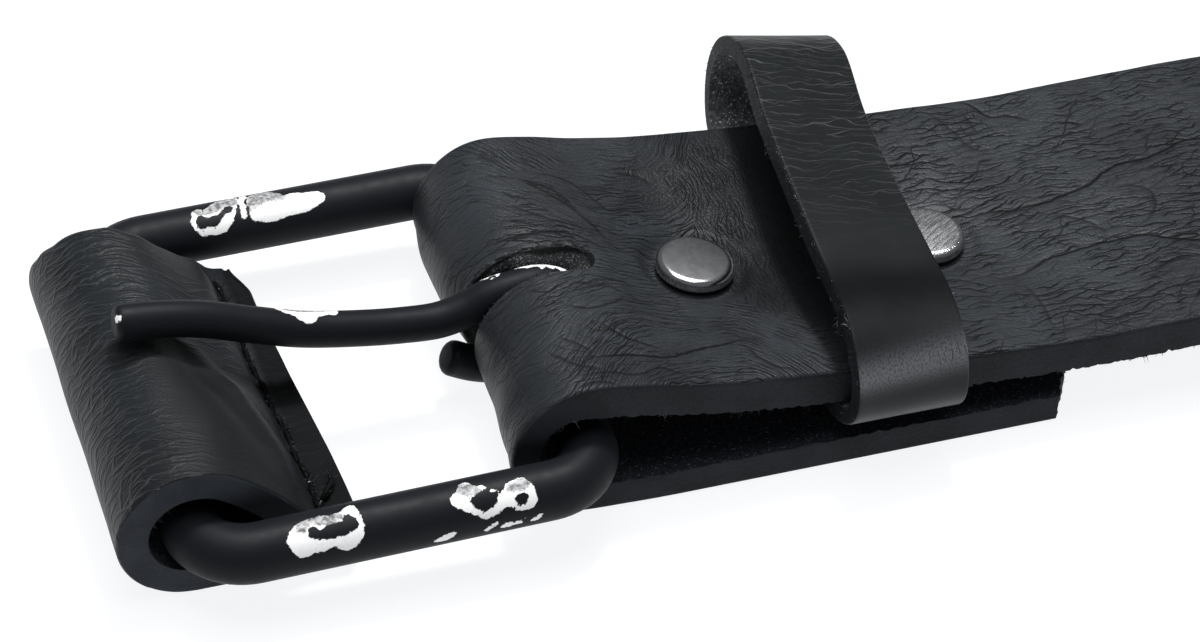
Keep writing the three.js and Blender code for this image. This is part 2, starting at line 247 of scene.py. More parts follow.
def punch(sheet, start, end, y, radius):
    """Cuts an oblong or round hole, whose round ends have their middles at (start, y) and (end, y)."""
    def from_middle():
        spots = places(sheet)[:, :2]
        middle = np.stack([np.clip(spots[:, 0], start, end), np.full(len(spots), y)], axis=1)
        return middle, spots - middle

    _, offset = from_middle()
    pick(sheet, "VERT", np.linalg.norm(offset, axis=1) < radius - 0.12)
    bpy.ops.mesh.delete(type="VERT")
    done()
    border = edge_of_sheet(sheet)
    middle, offset = from_middle()
    reach = np.linalg.norm(offset, axis=1)
    found = places(sheet)
    near = border & (reach < radius + 0.6)
    found[near, :2] = middle[near] + offset[near] / reach[near, None] * radius
    move_to(sheet, found)


def edge_of_sheet(sheet):
    """Which vertices lie on an open edge."""
    uses = np.bincount(listed(sheet.data.loops, "edge_index"), minlength=len(sheet.data.edges))
    border = np.zeros(len(sheet.data.vertices), bool)
    border[ends_of_edges(sheet)[uses == 1].ravel()] = True
    return border


def bend_round(sheet, line):
    """Bends a flat strip, drawn along +X, round a side line, and turns its faces to the hair side."""
    guide = bpy.data.objects.new("bending_line", bpy.data.curves.new("bending_line", "CURVE"))
    guide.data.dimensions = "3D"
    guide.data.twist_mode = "MINIMUM"
    spline = guide.data.splines.new("POLY")
    spline.points.add(len(line) - 1)
    for point, (x, z) in zip(spline.points, line):
        point.co = (x, 0, z, 1)
    scene.collection.objects.link(guide)
    only(sheet)
    bend = sheet.modifiers.new("bend", "CURVE")
    bend.object = guide
    bend.deform_axis = "POS_X"
    bpy.ops.object.modifier_apply(modifier="bend")
    bpy.data.objects.remove(guide)
    pick_all(sheet)
    bpy.ops.mesh.flip_normals()
    done()


def thicken(sheet, thickness, finishes):
    """Gives a sheet its thickness behind its faces, and its sides and cut edges their finishes."""
    for finish in finishes:
        sheet.data.materials.append(finish)
    thickest = float(np.max(thickness))
    group = sheet.vertex_groups.new(name="thickness")
    for i, value in enumerate(np.broadcast_to(thickness, len(sheet.data.vertices))):
        group.add([i], float(value) / thickest, "REPLACE")
    only(sheet)
    wall = sheet.modifiers.new("wall", "SOLIDIFY")
    wall.thickness = thickest
    wall.offset = -1
    wall.vertex_group = "thickness"
    wall.use_rim = True
    wall.use_even_offset = False
    wall.material_offset = FLESH
    wall.material_offset_rim = CUT
    bpy.ops.object.modifier_apply(modifier="wall")
    sheet.vertex_groups.clear()
    pick_all(sheet)
    bpy.ops.mesh.normals_make_consistent(inside=False)
    done()


def finish_of_corners(piece):
    """The finish of the face that each corner belongs to."""
    faces = piece.data.polygons
    return np.repeat(listed(faces, "material_index"), listed(faces, "loop_total"))


def between(piece, first, second):
    """Which edges lie between two finishes, or inside one."""
    finishes, edges = finish_of_corners(piece), listed(piece.data.loops, "edge_index")
    low = np.full(len(piece.data.edges), len(piece.data.materials))
    high = np.full(len(piece.data.edges), -1)
    np.minimum.at(low, edges, finishes)
    np.maximum.at(high, edges, finishes)
    return (low == first) & (high == second)


def touching(piece, *finishes):
    """Which vertices touch a face of each of these finishes."""
    at_corners, corners = finish_of_corners(piece), listed(piece.data.loops, "vertex_index")
    touched = np.zeros((len(finishes), len(piece.data.vertices)), bool)
    for row, finish in zip(touched, finishes):
        row[corners[at_corners == finish]] = True
    return touched.all(axis=0)


def split_cut_edges(piece, cuts):
    """Gives the cut edges a few rows of faces."""
    pick(piece, "EDGE", between(piece, CUT, CUT))
    bpy.ops.mesh.subdivide(number_cuts=cuts, smoothness=0)
    done()


def round_corners(piece, radius, cut=CUT, left_sharp=False):
    """Rounds the corners where the hair side meets its cut edges."""
    pick(piece, "EDGE", between(piece, HAIR, cut) & ~np.asarray(left_sharp))
    bpy.ops.mesh.bevel(offset=radius, segments=3, profile=0.5, affect="EDGES", clamp_overlap=False)
    done()


def settle(piece, body, slot, *nodes, angle=40):
    """Brings a finished piece from its drawing in millimetres to its place, and fixes it to its body."""
    only(piece)
    bpy.ops.object.shade_smooth_by_angle(angle=math.radians(angle))
    piece.data.transform(Matrix.Translation(origin) @ Matrix.Scale(MM, 4))
    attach(piece, body)
    if nodes:
        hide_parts(*nodes)


def node(tree, kind, feeds, **settings):
    """Adds a shader node, with a value or a link for each of its named or numbered inputs."""
    made = tree.nodes.new("ShaderNode" + kind)
    for name, value in settings.items():
        setattr(made, name, value)
    for name, value in feeds.items():
        if isinstance(value, bpy.types.NodeSocket):
            tree.links.new(value, made.inputs[name])
        else:
            made.inputs[name].default_value = value
    return made


def reckon(tree, operation, *values):
    return node(tree, "Math", dict(enumerate(values)), operation=operation).outputs[0]


def ramped(tree, value, low, high, start=0.0, end=1.0):
    """Eases a value from start to end between low and high."""
    feeds = {"Value": value, "From Min": low, "From Max": high, "To Min": start, "To Max": end}
    return node(tree, "MapRange", feeds, interpolation_type="SMOOTHSTEP").outputs["Result"]


def blended(tree, factor, *colours):
    """From the first to the second colour, each a link or its red, green and blue."""
    first, second = ((*colour, 1) if isinstance(colour, tuple) else colour for colour in colours)
    return node(tree, "Mix", {0: factor, 6: first, 7: second}, data_type="RGBA").outputs[2]


def shade(colour, times):
    return tuple(min(1, part * times) for part in colour)


def vector(tree, operation, *values):
    return node(tree, "VectorMath", dict(enumerate(values)), operation=operation).outputs[0]


def mapped(tree, place, kind="POINT", **moves):
    """The place, moved, turned and scaled."""
    return node(tree, "Mapping", {"Vector": place, **moves}, vector_type=kind).outputs[0]


def made_of(tree, x, y):
    return node(tree, "CombineXYZ", {"X": x, "Y": y, "Z": 0.0}).outputs[0]


def swapped(tree, place):
    """The place with its first two directions changed for each other."""
    apart = node(tree, "SeparateXYZ", {"Vector": place}).outputs
    return made_of(tree, apart[1], apart[0])


def flat_place(tree):
    """The place on the flat leather, in millimetres."""
    return mapped(tree, node(tree, "UVMap", {}, uv_map="UVMap").outputs[0], Scale=(100, 100, 100))


def piece_place(tree):
    """The place on the belt, in millimetres from the hinge bar."""
    spot = node(tree, "TexCoord", {}).outputs["Object"]
    return mapped(tree, spot, Location=(-origin.x / MM, -origin.y / MM, 0), Scale=(1000, 1000, 1000))


def cloudy(tree, place, size, detail=3, rough=0.5, seed=0.0, flat=False):
    """Soft noise from 0 to 1, with spots of about this size."""
    if seed:
        place = mapped(tree, place, Location=(seed * 37, seed * 53, seed * 29))
    feeds = {"Vector": place, "Scale": 1 / size, "Detail": detail, "Roughness": rough}
    return node(tree, "TexNoise", feeds, noise_dimensions="2D" if flat else "3D").outputs[0]


def wandering(tree, place, size, reach):
    """The place on the flat leather, moved about by soft noise, so that straight lines wander."""
    feeds = {"Vector": place, "Scale": 1 / size, "Detail": 2.0}
    drift = node(tree, "TexNoise", feeds, noise_dimensions="2D").outputs["Color"]
    centred = vector(tree, "SUBTRACT", drift, (0.5, 0.5, 0.5))
    return vector(tree, "ADD", place, vector(tree, "MULTIPLY", centred, (reach, reach, reach)))


def grain_lines(tree, place):
    """The fine net of lines between the cells of the leather's grain."""
    drawn = mapped(tree, place, "TEXTURE", Scale=(0.5, 0.4, 1))
    cells = node(tree, "TexVoronoi", {"Vector": drawn, "Scale": 1.0, "Randomness": 1.0},
                 feature="DISTANCE_TO_EDGE", voronoi_dimensions="2D")
    return line_where(tree, cells.outputs["Distance"], 0.2)


def wrinkles(tree, place, spacing, degrees, seed, least=0.40):
    """How far each place is from long wandering lines `spacing` apart, and where these are pressed in."""
    turned = mapped(tree, place, Location=(seed * 37, seed * 53, 0), Rotation=(0, 0, math.radians(degrees)))
    wide = mapped(tree, turned, Scale=(0.30 / spacing, 0.42 / spacing, 1))
    drift = cloudy(tree, wide, 1.0, detail=2.0, flat=True)
    across = node(tree, "SeparateXYZ", {"Vector": turned}).outputs[1]
    level = summed(tree, (across, 1 / spacing), (drift, 1.3))
    away = reckon(tree, "ABSOLUTE", reckon(tree, "SUBTRACT", reckon(tree, "FRACT", level), 0.5))
    long = mapped(tree, turned, Scale=(0.22 / spacing, 0.75 / spacing, 1))
    pressed = ramped(tree, cloudy(tree, long, 1.0, detail=2, seed=seed + 0.5, flat=True), least, least + 0.14)
    return product(tree, away, spacing), pressed


def net_of(tree, *families):
    """The sharp lines of several families of wrinkles, each with a width and a share, and the soft hollows
    round them."""
    sharp, soft = 0.0, 0.0
    for (away, pressed), width, share in families:
        sharp = greatest(tree, sharp, product(tree, line_where(tree, away, width), pressed, share))
        hollow = ramped(tree, away, 0.0, width * 4, 1.0, 0.0)
        soft = greatest(tree, soft, product(tree, hollow, pressed, share))
    return sharp, soft


def line_where(tree, away, width):
    """1 on a line and 0 off it."""
    return ramped(tree, away, width * 0.15, width, 1.0, 0.0)


def product(tree, *values):
    total = values[0]
    for value in values[1:]:
        total = reckon(tree, "MULTIPLY", total, value)
    return total


def greatest(tree, *values):
    total = values[0]
    for value in values[1:]:
        total = reckon(tree, "MAXIMUM", total, value)
    return total


def summed(tree, *pairs):
    """The sum of values, each times its share."""
    total = 0.0
    for value, share in pairs:
        total = reckon(tree, "MULTIPLY_ADD", value, share, total)
    return total


def painted(tree, name):
    """The three values that a piece keeps at its vertices under a name."""
    kept = node(tree, "Attribute", {}, attribute_name=name).outputs["Color"]
    return node(tree, "SeparateColor", {"Color": kept}).outputs


def leather(name, shine):
    """A new leather with its shader, ready for colour, gloss and relief."""
    made = bpy.data.materials.new(name)
    made.use_nodes = True
    shader = made.node_tree.nodes["Principled BSDF"]
    shader.inputs["IOR"].default_value = 1.48
    shader.inputs["Specular IOR Level"].default_value = shine
    return made, made.node_tree, shader


def finished(tree, shader, colour, roughness, relief, depth):
    """Joins colour, gloss and a relief in millimetres to the shader."""
    tree.links.new(colour, shader.inputs["Base Color"])
    tree.links.new(roughness, shader.inputs["Roughness"])
    bump = node(tree, "Bump", {"Height": relief, "Distance": depth * MM, "Strength": 1.0})
    tree.links.new(bump.outputs[0], shader.inputs["Normal"])


def strap_hair():
    """Satin black grain. A net of fine creases runs along the belt, draws together towards the first rivet
    and turns across the belt behind it. The creases are painted dark as the shade in their hollows, and the
    strap beside and under the keeper is painted darker as its shade. The strap keeps its main creases at its
    vertices."""
    made, tree, shader = leather("strap_hair_side", 0.19)
    flat = flat_place(tree)
    creased, crossed_and_shaded, drawn_in = painted(tree, "creasing")
    fold, kept, worn_lip = painted(tree, "folds")
    wavy = wandering(tree, wandering(tree, flat, 7.0, 2.0), 1.4, 0.5)
    along = vector(tree, "MULTIPLY", wavy, made_of(tree, 1.0, reckon(tree, "ADD", drawn_in, 1.0)))
    over = vector(tree, "MULTIPLY", swapped(tree, wavy), (2.0, 2.4, 1.0))
    unrest = cloudy(tree, flat, 1.6, detail=2, flat=True)
    turned = reckon(tree, "GREATER_THAN", summed(tree, (crossed_and_shaded, 1.0), (unrest, 0.8)), 0.9)
    place = blended(tree, turned, along, over)
    patches = ramped(tree, cloudy(tree, flat, 5.0, flat=True), 0.38, 0.56, 0.45, 1.0)
    slanting = reckon(tree, "SUBTRACT", 0.8, drawn_in)
    lines, hollows = net_of(tree, (wrinkles(tree, place, 0.95, 9, 1, 0.36), 0.115, 1.0),
                            (wrinkles(tree, place, 1.1, -14, 2, 0.38), 0.115, 1.0),
                            (wrinkles(tree, place, 0.52, -2, 3, 0.40), 0.075, 0.75),
                            (wrinkles(tree, place, 2.0, 50, 4, 0.54), 0.09, slanting))
    creased = product(tree, creased, patches)
    lines = product(tree, lines, creased)
    shaken = cloudy(tree, flat, 0.9, detail=3, seed=5.0, flat=True)
    off_fold = reckon(tree, "ABSOLUTE", summed(tree, (fold, 1.0), (shaken, 0.30), (1.0, -0.15)))
    main = product(tree, line_where(tree, off_fold, 0.26), kept)
    valley = product(tree, ramped(tree, off_fold, 0.0, 0.6, 1.0, 0.0), kept)
    hollows = product(tree, hollows, creased)
    grain = grain_lines(tree, flat)
    pores = cloudy(tree, flat, 0.2, detail=2, flat=True)
    # Painted shade: the fine crease lines and the main creases are painted near black, as the shade in their
    # hollows.
    dark = greatest(tree, lines, main)
    finer = ramped(tree, crossed_and_shaded, 0.0, 1.0, 1.0, 0.45)
    relief = summed(tree, (product(tree, hollows, finer), -0.30), (product(tree, lines, finer), -0.60),
                    (main, -0.4), (valley, -0.5), (pores, 0.12),
                    (grain, -0.10), (worn_lip, 0.3))
    worn = ramped(tree, cloudy(tree, flat, 12.0, seed=8.0, flat=True), 0.35, 0.65)
    top = blended(tree, worn, (0.0195, 0.0220, 0.0257), (0.0290, 0.0324, 0.0372))
    # Painted shade: beside and under the keeper, where the creases turn across the belt, the strap is painted
    # darker.
    top = blended(tree, crossed_and_shaded, top, (0.0060, 0.0070, 0.0082))
    crease_shaded_tone = blended(tree, dark, top, (0.0010, 0.0013, 0.0018))
    fuzzy = ramped(tree, cloudy(tree, flat, 0.35, detail=4, rough=0.7, flat=True), 0.50, 0.64)
    frayed = product(tree, worn_lip, fuzzy)
    colour = blended(tree, frayed, crease_shaded_tone, (0.075, 0.080, 0.085))
    roughness = summed(tree, (dark, 0.4), (worn, -0.06), (1.0, 0.47))
    finished(tree, shader, colour, roughness, relief, 0.095)
    return made


def cut_edge(name, colour, bright, speckled):
    """The cut through the leather: dyed, smooth to rough, with light fibres that stick out of it."""
    made, tree, shader = leather(name, 0.12)
    place = piece_place(tree)
    fibres = cloudy(tree, place, 0.35, detail=4, rough=0.65)
    specks = ramped(tree, cloudy(tree, place, 0.22, detail=2, seed=5.0), speckled, speckled + 0.06)
    broad = ramped(tree, cloudy(tree, place, 4.0, seed=2.0), 0.3, 0.7)
    base = blended(tree, broad, shade(colour, 0.8), shade(colour, 1.25))
    tone = blended(tree, specks, base, bright)
    finished(tree, shader, tone, ramped(tree, fibres, 0.2, 0.8, 0.5, 0.72), fibres, 0.09)
    return made


def slot_wall():
    """The raw cut of the slot: painted black as the shade under its rolled lip, and grey with loose fibres
    further in.
    """
    made, tree, shader = leather("slot_raw_edge", 0.3)
    place = piece_place(tree)
    fibres = cloudy(tree, place, 0.3, detail=5, rough=0.75)
    deep = painted(tree, "folds")[0]
    unshaded = ramped(tree, summed(tree, (deep, 1.0), (fibres, 0.5)), 0.48, 0.66)
    specks = ramped(tree, cloudy(tree, place, 0.16, detail=3, seed=5.0), 0.56, 0.66)
    grey = blended(tree, specks, (0.050, 0.054, 0.058), (0.50, 0.51, 0.52))
    # Painted shade: the top of the wall, under the lip, is painted near black.
    tone = blended(tree, unshaded, (0.003, 0.0035, 0.004), grey)
    finished(tree, shader, tone, ramped(tree, fibres, 0.2, 0.8, 0.4, 0.7), fibres, 0.22)
    return made


def flesh_side(name, colour):
    """The inside of the leather: matt, with a short felted nap."""
    made, tree, shader = leather(name, 0.2)
    place = piece_place(tree)
    nap = cloudy(tree, place, 0.4, detail=5, rough=0.7)
    specks = ramped(tree, cloudy(tree, place, 0.25, detail=2, seed=4.0), 0.62, 0.68)
    felt = blended(tree, ramped(tree, nap, 0.35, 0.75), shade(colour, 0.5), shade(colour, 1.6))
    tone = blended(tree, specks, felt, shade(colour, 5))
    finished(tree, shader, tone, ramped(tree, nap, 0.3, 0.7, 0.8, 0.95), nap, 0.25)
    return made


strap_edge = cut_edge("strap_cut_edge", (0.0135, 0.0160, 0.0195), (0.07, 0.07, 0.07), 0.72)
strap_flesh = flesh_side("strap_flesh_side", (0.0300, 0.0340, 0.0430))

side = [(x, 0, 0) for x in np.linspace(TAIL_END, 8, 5)] + [(3.6, 0, 0.12)]
side += [(x, 0, z) for x, z in arc(FOLD_X, FOLD_Z, FOLD_RADIUS, -100, -270, 9)]
side += [(x, dip, edge) for x, edge, dip in UPPER_LAYER]
line = smooth_line(side, 0.25)
line[:, 2] = np.maximum(line[:, 2], 0)
run = run_along(line[:, [0, 2]])
foremost = int(np.argmin(line[:, 0]))


def pinch(x, y):
    """How far the fold is drawn towards the hinge bar in the middle of the strap."""
    return looked_up(FOLD_PINCH, y) * (1 - eased(x, -7, 14))


def on_tail(x):
    """Where a place in the tail lies along the flat strip."""
    return float(np.interp(-x, -line[:foremost, 0], run[:foremost]))


def on_top(x):
    """Where a place in the upper layer lies along the flat strip."""
    return float(np.interp(x, line[foremost:, 0], run[foremost:]))


def unpinched(x, y):
    """Where a place of the pinched fold lay before."""
    found = x
    for _ in range(20):
        found = x - float(pinch(np.array(found), np.array(y)))
    return found


slot_columns = on_tail(8.5)
tail_columns = np.concatenate([[0, RIM], np.arange(2 * RIM, slot_columns, COARSE)])
top_columns = np.arange(slot_columns, run[-1] - 1.5 * RIM, FINE)
stops = np.concatenate([tail_columns, top_columns, [run[-1] - RIM, run[-1]]])
rows = np.concatenate([[-HALF, -HALF + RIM], np.arange(-HALF + 0.95, HALF - 0.9, 0.35), [HALF - RIM, HALF]])
strap = flat_strip("belt_strap", stops, rows)
slot_radius = SLOT_WIDTH / 2
slot_x = unpinched(SLOT_END, SLOT_Y) - slot_radius
punch(strap, on_tail(slot_x), on_top(slot_x), -SLOT_Y, slot_radius)
for x, top, tilt in RIVETS:
    lean = math.tan(math.radians(tilt))
    below = x - lean * (top - 2.6)
    punch(strap, on_top(x), on_top(x), 0, POST_HOLE)
    punch(strap, on_tail(below), on_tail(below), 0, POST_HOLE)
flat = places(strap)
s = flat[:, 0]
bend_round(strap, line[:, [0, 2]])
bent = places(strap)
x, y = bent[:, 0].copy(), bent[:, 1]
dip = np.interp(s, run, line[:, 1])
corner = TAIL_CORNER_X * np.clip(1 - (y + HALF) / TAIL_CORNER_Y, 0, 1)
clipped = np.where(s < 8, corner * np.clip(1 - (TAIL_END - x) / 7.2, 0, 1), 0)
bent[:, 0] = x + pinch(x, y) - clipped
bent[:, 2] -= dip * (1 + np.cos(np.pi * y / HALF)) / 2
move_to(strap, bent)
share = s / run[-1]
flat_thick = TAIL_THICK + (UPPER_THICK - TAIL_THICK) * eased(share, 0.3, 0.45)
thick = FOLD_THICK + (flat_thick - FOLD_THICK) * eased(x, FOLD_X - FOLD_RADIUS, 1.5)
thicken(strap, thick, [strap_hair(), strap_edge, strap_flesh, slot_wall()])

# The cut edges get a few rows of faces, and the corners of the hair side are rounded.
split_cut_edges(strap, 5)
for face in strap.data.polygons:
    if face.material_index == CUT and abs(face.center.y) < 3.2 and face.center.x < 7.5:
        face.material_index = SLOT_WALL
for radius, cut in ((0.34, CUT), (0.3, SLOT_WALL)):
    spot = middle_of_edges(strap)
    at_rivet = (np.abs(spot[:, 1]) < 2.5) & (spot[:, 0] > 7.5) & (spot[:, 0] < 44)
    round_corners(strap, radius, cut, at_rivet)

# Relief of the hair side: the main creases, the hollows round the rivets and a slow unevenness.
CREASES = [  # how strong, points on the strap
    (1.0, [(42.1, 2.2), (44.1, 1.8), (49.1, 1.4), (51.3, 1.8), (54.1, 2.4), (56.1, 3.6), (57.7, 4.2),
           (60.5, 4.3), (62.9, 4.9), (65, 5.7), (69, 5.5), (74, 6.5)]),
    (1.0, [(39.1, -6.5), (41.7, -7.3), (44, -7), (46.2, -6), (48.2, -5.8), (51.3, -5.5), (54.5, -5.5),
           (56, -5.6), (57.9, -6.8), (60.4, -7.8), (66, -8), (72, -9.5)]),
    (0.6, [(43, -8.1), (43.1, -10.2), (43.2, -12.2), (42.9, -14.8), (43.4, -16.1)]),
    (0.9, [(46.5, 17.4), (48, 16.7), (49.3, 14.3), (51, 14), (53.3, 12.3)]),
    (0.6, [(43.2, 17), (44.2, 15.6), (45.3, 12.6), (46.3, 10.2), (49.3, 10.1)]),
    (0.6, [(47, 16.1), (47.2, 13.7), (47.4, 12.1)]),
    (0.7, [(48.3, -0.6), (50.1, -0.8), (52.3, -2.8), (53, -5)]),
    (0.6, [(55, 0.9), (57.6, 1.2), (59, -0.1), (58.5, -2.3), (56.8, -3.9), (54.7, -4)]),
    (0.6, [(53.3, -9.3), (54.9, -10.2), (57.6, -9.6), (62, -10.4), (67, -12.6)]),
    (0.5, [(41.2, -16.6), (45, -15.8), (47.7, -15), (50.4, -13.6), (52.4, -13.4)]),
    (1.0, [(-0.8, -13), (1.4, -13.5), (4.5, -13.4), (7.6, -13.8), (9, -13.4), (11.1, -12.7), (14, -11.9),
           (15.5, -11.4), (17.6, -11.5)]),
    (0.8, [(-1.4, -15.5), (1.7, -15.6), (4.2, -16.1), (6.6, -15.3), (8, -16), (9.1, -17.3)]),
    (0.7, [(-1.4, -16.9), (0.7, -16.7), (2.5, -17.4)]),
    (0.8, [(0.7, -6.5), (3, -7.3), (5.9, -6.2), (7, -5)]),
    (0.9, [(2.9, -8.7), (4.8, -11.2), (6.1, -12), (7.9, -12.8)]),
    (0.7, [(-0.9, -10.1), (0.6, -11.9), (1.5, -13.1)]),
    (0.8, [(1.6, 11.7), (3.9, 9.4), (5.9, 6.8), (7.3, 4.4), (8.3, 2)]),
    (0.7, [(-1.5, 12.4), (1.9, 11.3), (5, 9.4), (6.6, 6.2), (7.6, 5.1)]),
    (0.7, [(2.8, 12.1), (6.5, 11.2), (8.7, 8.5), (9.6, 7.3), (11.6, 7.8), (13, 8.1)]),
    (0.8, [(-3.6, 4.0), (-0.8, 3.6), (1.9, 3.5), (4.4, 3.3), (6.5, 2.1), (7.9, 0.6)]),
    (0.7, [(2.5, -3.4), (4.2, -4.2), (6.5, -3.7)]),
    (0.7, [(-0.8, 8.3), (1.5, 6.5), (3.6, 5), (5.8, 4.2), (7.6, 3)]),
    (0.6, [(11.8, 12.6), (13.8, 11.7), (15.2, 10.5)]),
    (0.7, [(15.1, -12.3), (15.8, -14.7), (16.6, -15.8), (18.6, -16.8)]),
    (0.7, [(4.1, -4.5), (5.7, -4.2), (6.4, -4.8), (8.4, -5.6)]),
    (0.7, [(1.6, -9), (2.8, -10.3), (5.4, -8.9), (7.2, -8.7), (9.4, -9)]),
    (0.7, [(-2.4, -11.2), (-1.4, -13), (-0.2, -14.4), (2, -15.3)]),
]


def beside_line(x, y, points):
    """How far each place lies to the left of a line through the points, and how far it is from the line's
    ends, from 0 to 1."""
    line = smooth_line([(px, py, 0) for px, py in points], 0.4)[:, :2]
    beside = np.full(len(x), 1e9)
    within = np.zeros(len(x))
    for i, (a, b) in enumerate(zip(line, line[1:])):
        way = b - a
        t = np.clip(((x - a[0]) * way[0] + (y - a[1]) * way[1]) / way.dot(way), 0, 1)
        found = np.hypot(x - a[0] - t * way[0], y - a[1] - t * way[1])
        left = np.sign(way[0] * (y - a[1]) - way[1] * (x - a[0]))
        nearer = found < np.abs(beside)
        beside[nearer] = (found * left)[nearer]
        within[nearer] = ((i + t) / (len(line) - 1))[nearer]
    return beside, np.clip(np.minimum(within, 1 - within) * 5, 0, 1)


def uneven(x, y, z):
    """Soft noise from -1 to 1 at each place."""
    return np.array([noise.noise(Vector(spot)) for spot in np.broadcast(x, y, z)])


found, out = places(strap), normals(strap)
x, y, z = found.T
upper = touching(strap, HAIR) & (z > 6.5) & (x > -5)
lift = np.zeros(len(found))
fold = np.full(len(found), 1.5)
kept = np.zeros(len(found))
spots = np.flatnonzero(upper)
for strength, points in CREASES:
    beside, within = beside_line(x[spots], y[spots], points)
    if strength == 1.0:
        soft = -0.07 * np.exp(-(beside / 0.8) ** 2) + 0.025 * np.exp(-((beside - 1.3) / 0.8) ** 2)
        lift[spots] += soft * within
    nearer = np.abs(beside) < np.abs(fold[spots])
    fold[spots[nearer]] = beside[nearer]
    kept[spots[nearer]] = (strength * within)[nearer]
lift += 0.12 * uneven(x * 0.11, y * 0.16, 0) + 0.03 * uneven(x * 0.30, y * 0.75, 5)
along_slot = np.clip(x, -6, slot_x)
from_slot = np.hypot(x - along_slot, y - SLOT_Y) - slot_radius
lip = np.exp(-((from_slot - 0.25) / 0.42) ** 2) * (0.55 + 0.45 * np.sign(y - SLOT_Y))
lift += (0.13 + 0.08 * uneven(x * 0.8, y * 0.8, 9)) * lip
lift[~upper] = 0
found = found + out * lift[:, None]
far_lip = np.exp(-(from_slot / 1.8) ** 2) * eased(y, 0, 1.2) * eased(x, -4, 0) * (z > 8)
found[:, 2] -= SLOT_LIP_DROP * far_lip
for rivet_x, top, tilt in RIVETS:
    lean = math.tan(math.radians(tilt))
    away = np.hypot(found[:, 0] - rivet_x, found[:, 1])
    seat = top - CAP_SEAT - lean * (found[:, 0] - rivet_x)
    floor_of_hollow = np.minimum(found[:, 2], seat - 0.25 * eased(away, 1.6, 3.4))
    pressed = upper & (away < 6)
    share = 1 - eased(away, 3.9, 5.4)
    found[pressed, 2] += ((floor_of_hollow - found[:, 2]) * share)[pressed]

# The flesh side's border is ragged, and the tail's end is hacked off.
border = touching(strap, CUT, FLESH)
jag = uneven(x * 2.6, y * 2.6, 3) + 0.4 * uneven(x * 5, y * 5, 8)
found[border, 2] += (0.20 * jag * np.where(z > 4, -1, 1))[border]
found[border, 1] -= (0.10 * np.abs(jag) * np.sign(y))[border]
corner = TAIL_CORNER_X * np.clip(1 - (y + HALF) / TAIL_CORNER_Y, 0, 1)
cut_end = (z < 4) & (x > TAIL_END - 0.9 - corner)
hacked = uneven(y * 1.7, z * 2.2, 1) + 0.5 * uneven(y * 5, z * 6, 4)
found[cut_end, 0] -= (0.30 + 0.42 * hacked)[cut_end]
move_to(strap, found)


def paint(piece, name, values):
    """Keeps three values at each vertex for the leather's pattern to read."""
    layer = piece.data.color_attributes.new(name, "FLOAT_COLOR", "POINT")
    layer.data.foreach_set("color", np.concatenate([values, np.ones((len(values), 1))], axis=1).ravel())


def blob(x, y, middle, reach):
    """1 in the middle of an oval patch and 0 outside it."""
    away = np.hypot((x - middle[0]) / reach[0], (y - middle[1]) / reach[1])
    return 1 - eased(away, 0.45, 1.0)


x, y, z = places(strap).T
creased = 0.45 + 0.55 * eased(x, -6, 2) - 0.3 * blob(x, y, (12, 16), (9, 4))
creased = np.maximum(creased, eased(x, 37, 41) * (1 - 0.9 * blob(x, y, (68, 17), (34, 15))))
# Where the creases turn across the belt, beside and under the keeper; the strap is also painted darker there
# as shade.
crossed_and_shaded = np.maximum(blob(x, y, (24, 2), (10, 22)), 0.5 * blob(x, y, (16, 11), (6, 5)))
crossed_and_shaded *= 1 - 0.7 * blob(x, y, (17, -12), (8, 6))
drawn_in = 0.9 * eased(x, -3, 9) * (1 - eased(x, 14, 22))
creased[z < 3] = 0.3
paint(strap, "creasing", np.clip(np.stack([creased, crossed_and_shaded, drawn_in], axis=1), 0, 1))
wall = touching(strap, SLOT_WALL)
from_bar = np.hypot(x - pinch(x, y) - FOLD_X, z - FOLD_Z)
on_fold = eased(x, -1, 2.5)
# How deep each place of the slot's wall lies, which the wall's paint reads to paint the shade under the lip
# black.
deep = (1 - on_fold) * (FOLD_RADIUS - from_bar) / FOLD_THICK + on_fold * (13.3 - z) / 2.6
frayed = (1 - eased(from_slot, 0.15, 0.5)) * (z > 5) * (x < 8)
paint(strap, "folds", np.stack([np.where(wall, deep, np.clip(fold, -1.5, 1.5)), kept, frayed], axis=1))
settle(strap, "strap", "strap_leather", "strap")

# Rivets
# Two double-capped rivets of dark nickel. A flat cap with a rolled rim is pressed into the hair side, and its
# post goes through both layers to a back under the tail.
CAP_RADIUS, CAP_THICK, BACK_THICK = 3.5, 1.25, 0.9
CAP_RIM, BACK_RIM, FOOT_RIM = 0.62, 0.25, 0.3
BRUSHING = [(0.10, 60), (0.7, -35)]  # how strong the strokes on a cap are, and their direction in degrees


def dark_nickel(name, brushed, degrees, middle):
    """Matt worn nickel with strokes across it, and a rim that is rubbed bright."""
    made, tree, shader = leather(name, 0.5)
    shader.inputs["Metallic"].default_value = 1.0
    place = piece_place(tree)
    turned = mapped(tree, place, Rotation=(0, 0, math.radians(degrees)))
    drawn = mapped(tree, turned, Scale=(0.6, 8.0, 1.0))
    strokes = ramped(tree, cloudy(tree, drawn, 1.0, detail=4, rough=0.7), 0.35, 0.65)
    mottle = cloudy(tree, place, 0.8, detail=4, rough=0.65, seed=4.0)
    tarnish = summed(tree, (ramped(tree, mottle, 0.35, 0.7), 0.5), (strokes, brushed))
    tone = blended(tree, tarnish, (0.22, 0.22, 0.225), (0.44, 0.44, 0.445))
    from_middle = node(tree, "VectorMath", {0: place, 1: middle}, operation="DISTANCE").outputs["Value"]
    rubbed = ramped(tree, from_middle, CAP_RADIUS - 0.7, CAP_RADIUS - 0.4)
    tone = blended(tree, rubbed, tone, (0.56, 0.56, 0.57))
    roughness = summed(tree, (strokes, 0.15 * brushed), (mottle, -0.08), (rubbed, -0.14), (1.0, 0.34))
    relief = summed(tree, (strokes, brushed), (mottle, 0.4))
    finished(tree, shader, tone, roughness, relief, 0.018)
    return made


